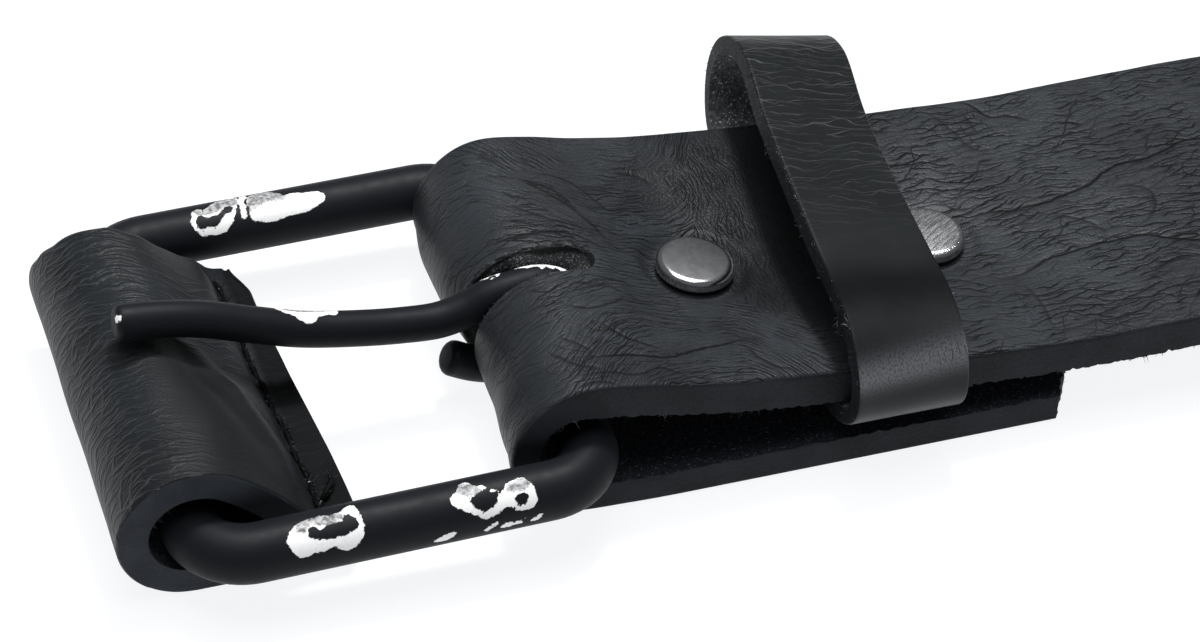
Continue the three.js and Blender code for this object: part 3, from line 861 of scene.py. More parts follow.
def rivet_disc(name, thick, rim, crown):
    """A round cap with a rolled rim and a slightly crowned face, its underside at z = 0."""
    bpy.ops.object.select_all(action="DESELECT")
    bpy.ops.mesh.primitive_cylinder_add(vertices=96, radius=CAP_RADIUS, depth=thick,
                                        location=(0, 0, thick / 2))
    disc = bpy.context.object
    disc.name = disc.data.name = name
    bpy.ops.object.transform_apply(location=True)
    for height, rounding, segments in ((thick, rim, 8), (0, FOOT_RIM, 4)):
        pick(disc, "EDGE", np.abs(middle_of_edges(disc)[:, 2] - height) < 0.01)
        bpy.ops.mesh.bevel(offset=rounding, segments=segments, profile=0.5, affect="EDGES")
        done()
    for _ in range(6):
        pick(disc, "FACE", [face.normal.z > 0.9 and face.area > 2 for face in disc.data.polygons])
        bpy.ops.mesh.inset(thickness=0.45, depth=0)
        done()
    found = places(disc)
    away = np.hypot(found[:, 0], found[:, 1]) / (CAP_RADIUS - rim)
    face = (away < 1) & (found[:, 2] > thick - 0.02)
    found[face, 2] += crown * (1 - away[face] ** 2)
    move_to(disc, found)
    return disc


def join_to(piece, *others):
    only(piece)
    for other in others:
        other.select_set(True)
    bpy.ops.object.join()


def rod_of(name, radius, low, high):
    """An upright rod with a rounded foot."""
    bpy.ops.object.select_all(action="DESELECT")
    bpy.ops.mesh.primitive_cylinder_add(vertices=32, radius=radius, depth=high - low,
                                        location=(0, 0, (low + high) / 2))
    rod = bpy.context.object
    rod.name = name
    bpy.ops.object.transform_apply(location=True)
    pick(rod, "EDGE", np.abs(middle_of_edges(rod)[:, 2] - low) < 0.01)
    bpy.ops.mesh.bevel(offset=0.15, segments=2, affect="EDGES")
    done()
    return rod


for number, (x, top, tilt), (brushed, degrees) in zip((1, 2), RIVETS, BRUSHING):
    reach = top - CAP_THICK - 0.12 - CAP_RADIUS * math.sin(math.radians(tilt))
    head = rivet_disc(f"rivet_{number}_head", CAP_THICK, CAP_RIM, 0.1)
    join_to(head, rod_of("stem", 1.0, -reach + BACK_THICK + 0.3, 0.05))
    rear = rivet_disc(f"rivet_{number}_rear", BACK_THICK, BACK_RIM, 0.0)
    rear.data.transform(Matrix.Translation((0, 0, -reach)))
    join_to(rear, rod_of("tube", 1.6, -reach + BACK_THICK - 0.05, -0.3))
    nickel = dark_nickel(f"dark_nickel_{number}", brushed, degrees, (x, 0, top))
    seated = Matrix.Translation((x, 0, top - CAP_THICK)) @ Matrix.Rotation(math.radians(tilt), 4, "Y")
    for disc, replaced in ((head, f"rivet_{number}_cap"), (rear, f"rivet_{number}_back")):
        disc.data.materials.append(nickel)
        disc.data.transform(seated)
        settle(disc, "strap", "dark_nickel", replaced)

# Buckle frame
# A closed rectangle of 5 mm round wire, bent cold and welded, painted satin black. The paint is knocked off
# in places, down to bare metal, which is painted white as a reflection of the bright floor, and painted grey
# for tarnish and as a reflection of the dim room.
WIRE_RADIUS, ROD_Y, CORNER_RADIUS = 2.5, 20.6, 4.6
HINGE_Z, OUTER_X, OUTER_Z = 6.7, -34.0, 6.05


def wire_height(x):
    return HINGE_Z + (HINGE_Z - OUTER_Z) / -OUTER_X * x


def black_paint(name):
    """Satin black paint, knocked off to bare metal where the piece's vertices say so. The bare metal is
    painted white as a reflection of the bright floor, and grey for tarnish and as a reflection of the dim
    room.
    """
    made, tree, shader = leather(name, 0.11)
    place = piece_place(tree)
    bare_by, grey_by, _ = painted(tree, "chipped")
    ragged = summed(tree, (cloudy(tree, place, 0.45, detail=4, rough=0.75), 0.60), (1.0, -0.30))
    bare = ramped(tree, summed(tree, (bare_by, 1.0), (ragged, 1.0)), -0.03, 0.03)
    film = cloudy(tree, place, 0.3, detail=4, rough=0.7, seed=6.0)
    # The grey parts of the bare metal: tarnish, and a painted reflection of the dim room.
    greyed = ramped(tree, summed(tree, (grey_by, 1.0), (film, 0.9), (1.0, -0.45)), -0.10, 0.22)
    stained = ramped(tree, cloudy(tree, place, 0.42, detail=4, rough=0.65, seed=2.0), 0.36, 0.62)
    grey = blended(tree, stained, (0.12, 0.12, 0.123), (0.46, 0.46, 0.465))
    # Painted reflection: the bare metal is painted near white, for the bright floor and lamps that it
    # reflects.
    bright = blended(tree, ramped(tree, film, 0.35, 0.6), (0.93, 0.93, 0.93), (1.0, 1.0, 1.0))
    metal = blended(tree, greyed, bright, grey)
    peel = cloudy(tree, place, 0.8, detail=2, seed=1.0)
    tree.links.new(product(tree, bare, 0.05), shader.inputs["Metallic"])
    colour = blended(tree, bare, (0.0095, 0.0107, 0.0135), metal)
    roughness = summed(tree, (bare, -0.08), (ramped(tree, peel, 0.3, 0.7), 0.06), (1.0, 0.46))
    finished(tree, shader, colour, roughness, summed(tree, (bare, -1.0), (peel, 0.10)), 0.07)
    return made


def inside_by(along, around, outline):
    """How far each place lies inside a smooth closed outline, and below zero outside it."""
    ring = smooth_line([(a, b, 0) for a, b in outline], 0.15, closed=True)[:, :2]
    nearest = np.full(len(along), 1e9)
    inside = np.zeros(len(along), bool)
    for (ax, ay), (bx, by) in zip(ring, np.roll(ring, -1, axis=0)):
        way = (bx - ax) ** 2 + (by - ay) ** 2
        t = np.clip(((along - ax) * (bx - ax) + (around - ay) * (by - ay)) / way, 0, 1)
        nearest = np.minimum(nearest, np.hypot(along - ax - t * (bx - ax), around - ay - t * (by - ay)))
        if ay != by:
            inside ^= ((ay > around) != (by > around)) & (along < (bx - ax) * (around - ay) / (by - ay) + ax)
    return np.where(inside, nearest, -nearest)


def chip_away(piece, finish, along, around, tables):
    """Paints a piece, and keeps at its vertices how far each lies inside a chip and its grey part, which is
    tarnish and a painted reflection of the dim room.
    """
    piece.data.materials.clear()
    piece.data.materials.append(finish)
    bare, grey = np.full(len(along), -2.0), np.full(len(along), -2.0)
    for chips, where in tables:
        near = np.flatnonzero(where)
        for outline, islands, grey_parts in chips:
            chip = inside_by(along[near], around[near], outline)
            for island in islands:
                chip = np.minimum(chip, -inside_by(along[near], around[near], island))
            bare[near] = np.maximum(bare[near], chip)
            for part in grey_parts:
                grey[near] = np.maximum(grey[near], inside_by(along[near], around[near], part))
    paint(piece, "chipped", np.stack([bare, grey, bare * 0], axis=1))


def close_up(piece):
    """Merges the doubled points of a round wire, and turns its faces outwards."""
    pick_all(piece)
    bpy.ops.mesh.remove_doubles(threshold=0.001)
    bpy.ops.mesh.normals_make_consistent(inside=False)
    done()


bpy.ops.object.select_all(action="DESELECT")
bpy.ops.mesh.primitive_plane_add(size=1)
frame_wire = bpy.context.object
frame_wire.name = frame_wire.data.name = "buckle_wire"
bpy.ops.object.mode_set(mode="EDIT")
bpy.ops.mesh.select_all(action="SELECT")
bpy.ops.transform.resize(value=(-OUTER_X, 2 * ROD_Y, 1))
bpy.ops.transform.translate(value=(OUTER_X / 2, 0, 0))
bpy.ops.mesh.bevel(offset=CORNER_RADIUS, segments=14, profile=0.5, affect="VERTICES", clamp_overlap=False)
bpy.ops.mesh.delete(type="ONLY_FACE")
done()
for cuts, rods in ((160, True), (24, False)):
    ends = places(frame_wire)[ends_of_edges(frame_wire)]
    long_edge = np.linalg.norm(ends[:, 0] - ends[:, 1], axis=1) > 8
    on_rod = np.abs(middle_of_edges(frame_wire)[:, 1]) > ROD_Y - 0.1
    pick(frame_wire, "EDGE", long_edge & (on_rod == rods))
    bpy.ops.mesh.subdivide(number_cuts=cuts)
    done()
only(frame_wire)
bpy.ops.object.convert(target="CURVE")
frame_wire.data.bevel_depth = WIRE_RADIUS
frame_wire.data.bevel_resolution = 14
bpy.ops.object.convert(target="MESH")
found = places(frame_wire)
found[:, 2] += wire_height(found[:, 0])
move_to(frame_wire, found)
close_up(frame_wire)
NEAR_CHIPS = [  # outline, islands of paint and grey parts (tarnish and painted reflection of the dim room), by X and the way round the rod from its top
    ([(-27.4, -1.6), (-27, -0.9), (-26.2, -0.2), (-25.3, 0), (-24.2, 0.1), (-23.3, 0), (-22.6, 0.1),
      (-22, 0.5), (-21.4, 0.8), (-21.1, -0.1), (-21, -0.7), (-20.9, -1.3), (-21, -2.1), (-21.4, -2.8),
      (-22.4, -3.4), (-23, -3.2), (-23.8, -2.8), (-24.4, -3), (-25.2, -3), (-26.1, -3.2), (-26.7, -3),
      (-27.2, -2.3)],
     [[(-25.6, -1.4), (-25.4, -0.9), (-24.9, -0.8), (-24.6, -1.2), (-23.6, -0.9), (-22.7, -0.9),
       (-22.2, -0.3), (-21.8, -0.5), (-21.3, -1.2), (-21.4, -1.6), (-21.9, -1.9), (-23.1, -2.1),
       (-24.2, -2.1), (-25.3, -1.8)]],
     [[(-26.3, -0.2), (-25.3, 0.3), (-24.2, 0.3), (-22.6, 0), (-22.3, -0.6), (-24.1, -1), (-25.1, -0.7),
       (-25.8, -1.2), (-26.6, -1)]]),
    ([(-13.5, -0.7), (-13, -0.5), (-12.4, 0.4), (-11.8, 0.5), (-11.3, -0.1), (-10.6, -0.3), (-10, -0.8),
      (-9.2, -1.2), (-8.8, -0.7), (-8.2, -0.4), (-7.2, -0.3), (-6.7, -0.9), (-6.4, -1.9), (-6.5, -2.7),
      (-7, -3.1), (-7.5, -3.2), (-8.2, -3), (-9, -2.6), (-9.4, -2.7), (-10.4, -3.2), (-11.2, -3.1),
      (-12, -2.5), (-12.7, -2.1), (-13.5, -1.4)],
     [[(-12.4, -0.8), (-11.9, -1.1), (-11.3, -1), (-10.8, -0.8), (-10, -1.1), (-9.6, -1.5), (-9.7, -1.9),
       (-10.3, -2.4), (-11.1, -2.5), (-11.7, -2.0), (-12, -1.4)], [(-8.3, -1.9), (-7.7, -1.7), (-7.1, -1.9),
       (-7.2, -2.4), (-7.8, -2.6), (-8.2, -2.4)]],
     [[(-12.4, 0.5), (-11.2, 0), (-10.7, -0.8), (-11.6, -1.1), (-12.5, -0.8), (-13.1, -0.7)], [(-8.9, -0.9),
       (-8, -0.4), (-6.8, -0.4), (-6.7, -1.3), (-7.8, -1.5), (-8.9, -1.3)]]),
    ([(-15.4, -4.5), (-14.6, -4), (-13.6, -3.8), (-13.3, -4.1), (-14, -4.6), (-15, -4.75)], [], []),
    ([(-11.1, -4.6), (-10.7, -4), (-9.9, -3.75), (-9.8, -4.05), (-10.4, -4.4), (-10.9, -4.75)], [], []),
    ([(-9.7, -4.4), (-9.2, -4), (-8.4, -4.1), (-7.5, -4), (-7.7, -4.4), (-8.8, -4.65), (-9.5, -4.65)],
     [], []),
    ([(-7.2, -4.4), (-6.6, -3.95), (-5.8, -3.9), (-6.1, -4.3), (-6.9, -4.6)], [], []),
]
FAR_CHIPS = [
    ([(-25.1, -0.5), (-24.9, 0.1), (-24.4, 0.3), (-24, -0.1), (-23.5, 0.3), (-22.5, 1), (-21.6, 1.5),
      (-21.1, 1.5), (-20.7, 1), (-20.7, 0.1), (-21.1, -0.8), (-21.5, -1.6), (-22, -2.3), (-22.8, -2.7),
      (-23.8, -2.6), (-24.6, -2.5), (-25.1, -1.9), (-25.3, -1.1)],
     [[(-24.8, -1.2), (-24.6, -0.6), (-24.1, -0.7), (-23.7, -1.1), (-23.2, -0.9), (-22.6, -0.8),
       (-22.1, -0.2), (-21.4, -0.2), (-21.4, -0.8), (-22.2, -1), (-22.7, -1.5), (-23.3, -2), (-23.9, -1.8),
       (-24.5, -2), (-24.8, -1.6)]],
     [[(-25, -0.4), (-24.9, 0.2), (-24.3, 0.4), (-24, 0), (-22.5, 1.1), (-21.6, 1.6), (-20.7, 1),
       (-20.9, -0.2), (-22, -0.2), (-22.7, -0.7), (-23.8, -0.8), (-24.6, -0.6)]]),
    ([(-20.4, 1.1), (-19.7, 1.3), (-20, 0.5), (-20.25, -0.1), (-20.2, -1), (-20.35, -1.8), (-20.7, -1.6),
      (-20.75, -0.8), (-20.7, 0)], [], []),
    ([(-20, -1.8), (-19.9, -0.9), (-20, -0.3), (-19.9, 0.3), (-19.4, 1), (-18.4, 1.3), (-17.7, 1),
      (-17.1, 0.5), (-16.5, -0.1), (-15.7, 0), (-14.7, -0.2), (-13.6, -0.3), (-13.1, -0.7), (-12.9, -1.1),
      (-13.4, -1.6), (-14.4, -2), (-15.9, -2.2), (-16.9, -2.2), (-18, -2.5), (-19, -2.3), (-19.7, -2.1)],
     [],
     [[(-20, -1.2), (-20.1, -0.2), (-19.4, 1.1), (-17.7, 1.1), (-16.5, 0), (-15.9, -0.3), (-16.9, -0.7),
       (-18.2, -0.6), (-19.2, -1)]]),
]
x, y, z = places(frame_wire).T
around = WIRE_RADIUS * np.arctan2(y - np.copysign(ROD_Y, y), z - wire_height(x))
sides = [(FAR_CHIPS, y > 17), (NEAR_CHIPS, y < -17)]
chip_away(frame_wire, black_paint("frame_black_paint"), x, around, sides)
settle(frame_wire, "buckle", "black_paint", "buckle_frame")

# Prong
# A 3.2 mm round wire, painted like the frame, with its own curl round the hinge bar. Its tip lies on the
# sleeve, and the curl's cut end shows under the fold.
PRONG_RADIUS = 1.6
PRONG_SIDE = [(-36.3, 15.2), (-32.6, 14.8), (-29, 14.0), (-24.7, 12.4), (-20.4, 10.9), (-16.1, 9.95),
              (-11.8, 9.3), (-8.1, 9.1), (-5.6, 9.75), (-3.6, 10.7), *arc(-0.1, 6.75, 4.55, 105, -95, 10),
              (-4.7, 3.3), (-7.5, 4.8)]


def wire_along(name, points, radius, rounding):
    """A round wire along the points, with flat ends whose rims are rounded."""
    points = np.array(points)
    run = run_along(points)
    rim = rounding * (1 - np.cos(np.linspace(0, math.pi / 2, 7)))
    inner = run[(run > rounding * 1.1) & (run < run[-1] - rounding * 1.1)]
    stops = np.concatenate([rim, inner, run[-1] - rim[::-1]])
    points = np.stack([np.interp(stops, run, points[:, axis]) for axis in range(3)], axis=1)
    from_end = np.clip(np.minimum(stops, run[-1] - stops), 0, rounding)
    curve = bpy.data.curves.new(name, "CURVE")
    curve.dimensions = "3D"
    curve.twist_mode = "MINIMUM"
    spline = curve.splines.new("POLY")
    spline.points.add(len(points) - 1)
    for point, place, gone in zip(spline.points, points, rounding - from_end):
        point.co = (*place, 1)
        point.radius = 1 - (rounding - math.sqrt(max(0, rounding**2 - gone**2))) / radius
    curve.bevel_depth = radius
    curve.bevel_resolution = 7
    curve.use_fill_caps = True
    wire = bpy.data.objects.new(name, curve)
    scene.collection.objects.link(wire)
    only(wire)
    bpy.ops.object.convert(target="MESH")
    wire = bpy.context.object
    close_up(wire)
    return wire


PRONG_CHIPS = [
    ([(-23, 1.0), (-22.6, 1.6), (-19.8, 1.8), (-17.6, 1.5), (-17.2, 0.6), (-17.5, 0), (-18.5, 0),
      (-19.2, -0.3), (-19.9, -0.9), (-20.9, -0.8), (-21.6, -0.2), (-22.4, 0.1)],
     [],
     [[(-23, 1.0), (-22.6, 1.7), (-19.8, 1.9), (-17.4, 1.6), (-17.3, 0.7), (-18.6, 0.5), (-20, 0.3),
       (-21.8, 0.4)]]),
    ([(-36.6, -0.7), (-36.2, -0.5), (-35.9, -0.8), (-35.9, -1.3), (-36.3, -1.4), (-36.6, -1.2)], [], []),
    ([(-1.0, 1.6), (1.0, 1.8), (2.4, 1.5), (3.3, 0.6), (3, 0), (2.5, 0.2), (2.1, -0.3), (1.75, 0.3),
      (1.45, -0.1), (1.1, 0.4), (0.7, -0.2), (0.45, 0.5), (0, 0.2), (-0.4, 0.7), (-0.9, 0.8)], [], []),
    ([(-3.8, 1.5), (-2.9, 1.7), (-2.2, 1.6), (-2.3, 0.7), (-2.9, 0.2), (-3.5, 0.6)],
     [[(-3.2, 1.1), (-2.7, 1.2), (-2.7, 0.8), (-3.1, 0.7)]],
     []),
]
prong_line = smooth_line([(x, 0, z) for x, z in PRONG_SIDE], 0.3)
prong = wire_along("prong_wire", prong_line, PRONG_RADIUS, 0.7)
x, y, z = places(prong).T
nearest = np.argmin((x[:, None] - prong_line[:, 0]) ** 2 + (z[:, None] - prong_line[:, 2]) ** 2, axis=1)
off_x, off_z = x - prong_line[nearest, 0], z - prong_line[nearest, 2]
around = PRONG_RADIUS * np.arctan2(y, np.copysign(np.hypot(off_x, off_z), off_z))
chip_away(prong, black_paint("prong_black_paint"), prong_line[nearest, 0], around, [(PRONG_CHIPS, z > 8)])
settle(prong, "prong", "black_paint", "prong")

# Sleeve
# A strip of the strap's leather rolled round the outer bar, with its two ends laid on each other as a flap
# and stitched. The prong has pressed a hollow into it, and its far end is cut by hand.
SLEEVE_THICK, SLEEVE_NEAR_END, SLEEVE_LENGTH = 2.6, -17.5, 33.5
SLEEVE_FAR_END = [(-40.35, 17.9), (-39.5, 17.1), (-38, 16.3), (-33.9, 15.5), (-31.7, 14.55), (-29.5, 13.65),
                  (-28.2, 13.7), (-25, 15.35), (-23.4, 16)]
ROLL_X, ROLL_Z, ROLL_RADIUS = -33.9, 6.45, 6.45
SEAM_X, FLAP_EDGE_X, FLAP_TOP = -23.4, -20.2, 5.5
FLAP_EDGE = [(-17.5, -20.2), (12.3, -21.7), (16, -22.8)]
SLEEVE_RELIEF = [(-17.5, 0.1), (-10, 0.5), (-4, 0), (0, -0.7), (4, -0.2), (10, 0.3), (16, 0)]
RIDGE = [(-32, 2), (-30.1, -0.1), (-28.9, -2.9), (-27.5, -4.6), (-26.8, -6.6), (-25.2, -10.3), (-24.6, -14.5)]


def seam_at(y):
    """The X of the row of stitches, which follows the flap's edge."""
    return SEAM_X + looked_up(FLAP_EDGE, y) - FLAP_EDGE_X + 0.3


def sleeve_hair():
    """The strap's leather, with fine wrinkles that run round the bar, painted lighter than the grain as a
    highlight on their ridges. The valley beside the ridge under the prong is painted darker as shade.
    """
    made, tree, shader = leather("sleeve_hair_side", 0.21)
    flat = flat_place(tree)
    wrinkled, criss, darker_and_matt = painted(tree, "creasing")
    place = wandering(tree, wandering(tree, flat, 8.0, 2.6), 1.5, 0.45)
    lines, ridges = net_of(tree, (wrinkles(tree, place, 1.05, 8, 1), 0.080, 1.0),
                           (wrinkles(tree, place, 1.3, -14, 2), 0.070, 0.9),
                           (wrinkles(tree, place, 0.55, -4, 3), 0.050, 0.6))
    criss_lines, criss_ridges = net_of(tree, (wrinkles(tree, place, 1.5, 58, 4), 0.08, 1.0))
    lines = greatest(tree, product(tree, lines, wrinkled), product(tree, criss_lines, criss))
    ridges = greatest(tree, product(tree, ridges, wrinkled), product(tree, criss_ridges, criss))
    grain = grain_lines(tree, flat)
    pores = cloudy(tree, flat, 0.2, detail=2, flat=True)
    relief = summed(tree, (pores, 0.08), (lines, 0.45), (ridges, 0.5), (grain, -0.06))
    worn = ramped(tree, cloudy(tree, flat, 9.0, seed=7.0, flat=True), 0.35, 0.65)
    top = blended(tree, worn, (0.0088, 0.0104, 0.0121), (0.0132, 0.0154, 0.0180))
    # Darker and more matt on the flap and in the valley on the hollow side of the ridge, where the darkening
    # is painted shade.
    top = blended(tree, darker_and_matt, top, (0.0010, 0.0014, 0.0020))
    # Painted highlight: the wrinkle lines, which stand up as ridges, are painted lighter.
    colour = blended(tree, product(tree, lines, 0.55), top, (0.062, 0.068, 0.074))
    finished(tree, shader, colour, summed(tree, (worn, -0.05), (darker_and_matt, 0.40), (1.0, 0.47)), relief, 0.13)
    return made


sleeve_roll = arc(ROLL_X, ROLL_Z, ROLL_RADIUS, 270, 50, 12)
slope_x, slope_z = sleeve_roll[-1]
sleeve_side = [(FLAP_EDGE_X, 0), (SEAM_X, 0), (-28.5, 0), *sleeve_roll,
               ((slope_x + SEAM_X) / 2, (slope_z + FLAP_TOP) / 2 + 0.25), (SEAM_X - 0.9, FLAP_TOP + 0.75),
               (SEAM_X + 0.7, FLAP_TOP), (FLAP_EDGE_X, FLAP_TOP)]
sleeve_line = smooth_line([(x, 0, z) for x, z in sleeve_side], 0.2)[:, [0, 2]]
sleeve_line[:, 1] = np.maximum(sleeve_line[:, 1], 0)
far = run_along(sleeve_line)[-1]
stops = np.concatenate([[0, 0.45], np.arange(0.75, far - 0.7, FINE), [far - 0.45, far]])
rows = np.concatenate([[-17.5, -17.05], np.arange(-16.7, 15.4, 0.35), [15.6, 16]])
sleeve = flat_strip("sleeve_wrap", stops, rows)
flat = places(sleeve)
share = (flat[:, 1] - SLEEVE_NEAR_END) / SLEEVE_LENGTH
bend_round(sleeve, sleeve_line)
bent = places(sleeve)
x, z = bent[:, 0].copy(), bent[:, 2]
far_end = looked_up(SLEEVE_FAR_END, x)
y = far_end + (SLEEVE_NEAR_END - far_end) * share
on_flap = np.clip((x - SEAM_X) / (FLAP_EDGE_X - SEAM_X), 0, 1)
bent[:, 0] += (looked_up(FLAP_EDGE, y) - FLAP_EDGE_X) * on_flap
bent[:, 1] = y
on_slope = eased(x, ROLL_X, -29) * (1 - eased(x, -27, SEAM_X)) * (z > FLAP_TOP + 0.2)
move_to(sleeve, bent)
move_to(sleeve, bent + normals(sleeve) * (looked_up(SLEEVE_RELIEF, y) * on_slope)[:, None])
sleeve_edge = cut_edge("sleeve_cut_edge", (0.0280, 0.0320, 0.0400), (0.12, 0.12, 0.12), 0.72)
thicken(sleeve, SLEEVE_THICK, [sleeve_hair(), sleeve_edge, strap_flesh])
split_cut_edges(sleeve, 4)
round_corners(sleeve, 0.28)
found, out = places(sleeve), normals(sleeve)
x, y, z = found.T
beside, within = beside_line(x, y, RIDGE)
ridge = (0.32 * np.exp(-((beside - 0.5) / 0.9) ** 2) - 0.30 * np.exp(-((beside + 1.5) / 1.3) ** 2)) * within
groove = np.exp(-((x - seam_at(y)) / 0.55) ** 2) * (z > 4)
lift = 0.14 * uneven(x * 0.16, y * 0.16, z * 0.16) - 0.35 * groove + ridge * (z > 5.5)
lift[~touching(sleeve, HAIR) | (z < 1.5)] = 0
move_to(sleeve, found + out * lift[:, None])
x, y, z = places(sleeve).T
wrinkled = 0.12 + 0.88 * (1 - eased(x, -35.5, -31)) + 0.5 * blob(x, y, (-28, 4), (5, 8))
wrinkled = wrinkled * (1 - 0.85 * blob(x, y, (-32, -6), (6, 9)))
criss = 0.8 * eased(-x, 37, 39.5)
# The flap beyond the seam is darker and more matt, and the valley on the hollow side of the ridge is painted
# darker as shade.
darker_and_matt = np.maximum(eased(x, SEAM_X - 1.2, SEAM_X + 0.3), 0.45 * eased(x, -36, -31) * (beside < 0))
paint(sleeve, "creasing", np.clip(np.stack([wrinkled, criss, darker_and_matt], axis=1), 0, 1))
settle(sleeve, "buckle", "sleeve_leather", "bar_sleeve")

# Thread
# The sleeve's flap is closed by one row of waxed black thread, which has worn fuzzy. Its end hangs out at the
# near side.
STITCHES, STITCH_PITCH, FIRST_STITCH_Y, THREAD_RADIUS = 14, 2.16, 13.4, 0.26
LOOSE_END = [(-23.0, -15.6, 5.0), (-22.4, -15.2, 5.9), (-21.6, -14.2, 6.1), (-21.3, -13.2, 5.9)]


def waxed_thread():
    """Black waxed strands with a few pale specks."""
    made, tree, shader = leather("waxed_black_thread", 0.08)
    place = piece_place(tree)
    ply = cloudy(tree, place, 0.3, detail=3)
    specks = ramped(tree, cloudy(tree, place, 0.35, detail=1, seed=3.0), 0.72, 0.75)
    tone = blended(tree, specks, (0.0020, 0.0022, 0.0026), (0.30, 0.30, 0.30))
    finished(tree, shader, tone, ramped(tree, ply, 0.3, 0.7, 0.5, 0.75), ply, 0.1)
    return made


def in_drawing(piece):
    """A settled piece's vertices in the drawing's millimetres, and its normals."""
    return (places(piece) - np.array(origin)) / MM, normals(piece)


stitches = []
leather_top, _ = in_drawing(sleeve)
leather_top = leather_top[leather_top[:, 2] > 4]
for number in range(STITCHES):
    row = []
    for t in np.linspace(0, 1, 9):
        y = FIRST_STITCH_Y - number * STITCH_PITCH - 2.1 * t
        x = float(seam_at(y)) + 0.12 * math.sin(number * 2.3 + t)
        near = np.hypot(leather_top[:, 0] - x, leather_top[:, 1] - y) < 0.35
        row.append((x, y, float(np.median(leather_top[near, 2])) - 0.22 + 0.38 * math.sin(math.pi * t)))
    stitches.append(wire_along(f"stitch_{number}", row, THREAD_RADIUS, 0.1))
stitches.append(wire_along("loose_end", smooth_line(LOOSE_END, 0.3), THREAD_RADIUS, 0.1))
join_to(stitches[0], *stitches[1:])
seam = stitches[0]
seam.name = seam.data.name = "seam_thread"
seam.data.materials.clear()
seam.data.materials.append(waxed_thread())
settle(seam, "buckle", "sleeve_leather")

# Keeper
# A loose closed loop of thinner and smoother leather round the upper layer. It hangs skewed, with its flesh
# side in.
KEEPER_WIDTH, KEEPER_THICK = 10.4, 1.6
KEEPER_LOOP = [  # the middle of the band's section, and how far its face leans in degrees
    (28.4, 0, 4.0, 0), (27.9, -9, 4.2, 0), (27.5, -16, 5.0, -2), (27.6, -18.9, 6.8, 0), (27.6, -19.7, 9.8, 5),
    (27.4, -19.1, 12.6, 6), (27.5, -15.8, 14.7, 7), (27.8, -8, 15.5, 9), (28.3, 0, 16.0, 12),
    (29.0, 9, 16.7, 13), (30.0, 17, 17.6, 12), (30.2, 22, 15.4, 8), (30.2, 24.1, 11, 5), (30, 23, 6.9, 3),
    (29.5, 17, 5.0, 0), (29, 9, 4.2, 0)]


def keeper_hair():
    """Thin smooth leather with fine wrinkles across the band, painted light along their ridges as a
    highlight.
    Its near bend is rubbed and cracked, and is also painted lighter there as a highlight.
    """
    made, tree, shader = leather("keeper_hair_side", 0.17)
    flat = flat_place(tree)
    wrinkled, rubbed, darker_and_matt = painted(tree, "creasing")
    place = wandering(tree, wandering(tree, flat, 8.0, 2.4), 1.5, 0.35)
    place = swapped(tree, place)
    patches = ramped(tree, cloudy(tree, flat, 3.5, seed=2.0, flat=True), 0.42, 0.60)
    lines, ridges = net_of(tree, (wrinkles(tree, place, 1.2, 7, 1, 0.37), 0.065, 1.0),
                           (wrinkles(tree, place, 1.6, -11, 2, 0.39), 0.065, 1.0),
                           (wrinkles(tree, place, 0.7, -1, 3, 0.42), 0.05, 0.6))
    lines, ridges = product(tree, lines, wrinkled), product(tree, ridges, wrinkled)
    cracks, _ = net_of(tree, (wrinkles(tree, place, 0.7, 84, 6, 0.48), 0.06, 1.0),
                       (wrinkles(tree, place, 1.1, 62, 7, 0.50), 0.06, 1.0))
    cracks = product(tree, cracks, patches, rubbed)
    pores = cloudy(tree, flat, 0.2, detail=3, flat=True)
    relief = summed(tree, (pores, 0.14), (lines, 0.4), (ridges, 0.3), (cracks, -0.4))
    worn = ramped(tree, cloudy(tree, flat, 6.0, seed=7.0, flat=True), 0.35, 0.65)
    top = blended(tree, worn, (0.0066, 0.0080, 0.0086), (0.0098, 0.0116, 0.0126))
    # Rubbed wear and painted highlight: the near bend is painted a lighter grey, mottled by the pores.
    rubbed_and_highlit = product(tree, rubbed, ramped(tree, pores, 0.3, 0.6, 0.5, 1.0))
    top = blended(tree, rubbed_and_highlit, top, (0.165, 0.168, 0.185))
    # Darker and more matt on the top run, towards the near bend.
    top = blended(tree, darker_and_matt, top, (0.0012, 0.0015, 0.0020))
    top = blended(tree, cracks, top, (0.0080, 0.0092, 0.0110))
    # Painted highlight: the wrinkle lines, which stand up as ridges, are painted lighter.
    colour = blended(tree, product(tree, lines, 0.75), top, (0.072, 0.076, 0.078))
    roughness = summed(tree, (worn, -0.04), (rubbed, -0.12), (darker_and_matt, 0.4), (1.0, 0.46))
    finished(tree, shader, colour, roughness, relief, 0.09)
    return made


loop = smooth_line(KEEPER_LOOP, 0.4, closed=True)
ring = len(loop)
bpy.ops.object.select_all(action="DESELECT")
bpy.ops.mesh.primitive_cylinder_add(vertices=ring, radius=10, depth=1, end_fill_type="NOTHING",
                                    rotation=(0, math.pi / 2, 0))
keeper = bpy.context.object
keeper.name = keeper.data.name = "keeper_band"
bpy.ops.object.transform_apply(rotation=True)
centres, leans = loop[:, :3], np.radians(loop[:, 3])
tangents = np.roll(centres, -1, axis=0) - np.roll(centres, 1, axis=0)
tangents /= np.linalg.norm(tangents, axis=1)[:, None]
outward = np.cross((1, 0, 0), tangents)
outward /= np.linalg.norm(outward, axis=1)[:, None]
across = np.cos(leans)[:, None] * np.array((1, 0, 0)) - outward * np.sin(leans)[:, None]
found = places(keeper)
angle = np.arctan2(found[:, 2], found[:, 1])
order = np.round((angle / (2 * math.pi)) * ring).astype(int) % ring
sided = np.sign(found[:, 0])
distance = run_along(centres)
move_to(keeper, centres[order] + across[order] * (sided * (KEEPER_WIDTH / 2))[:, None])
uv = keeper.data.uv_layers.active.data
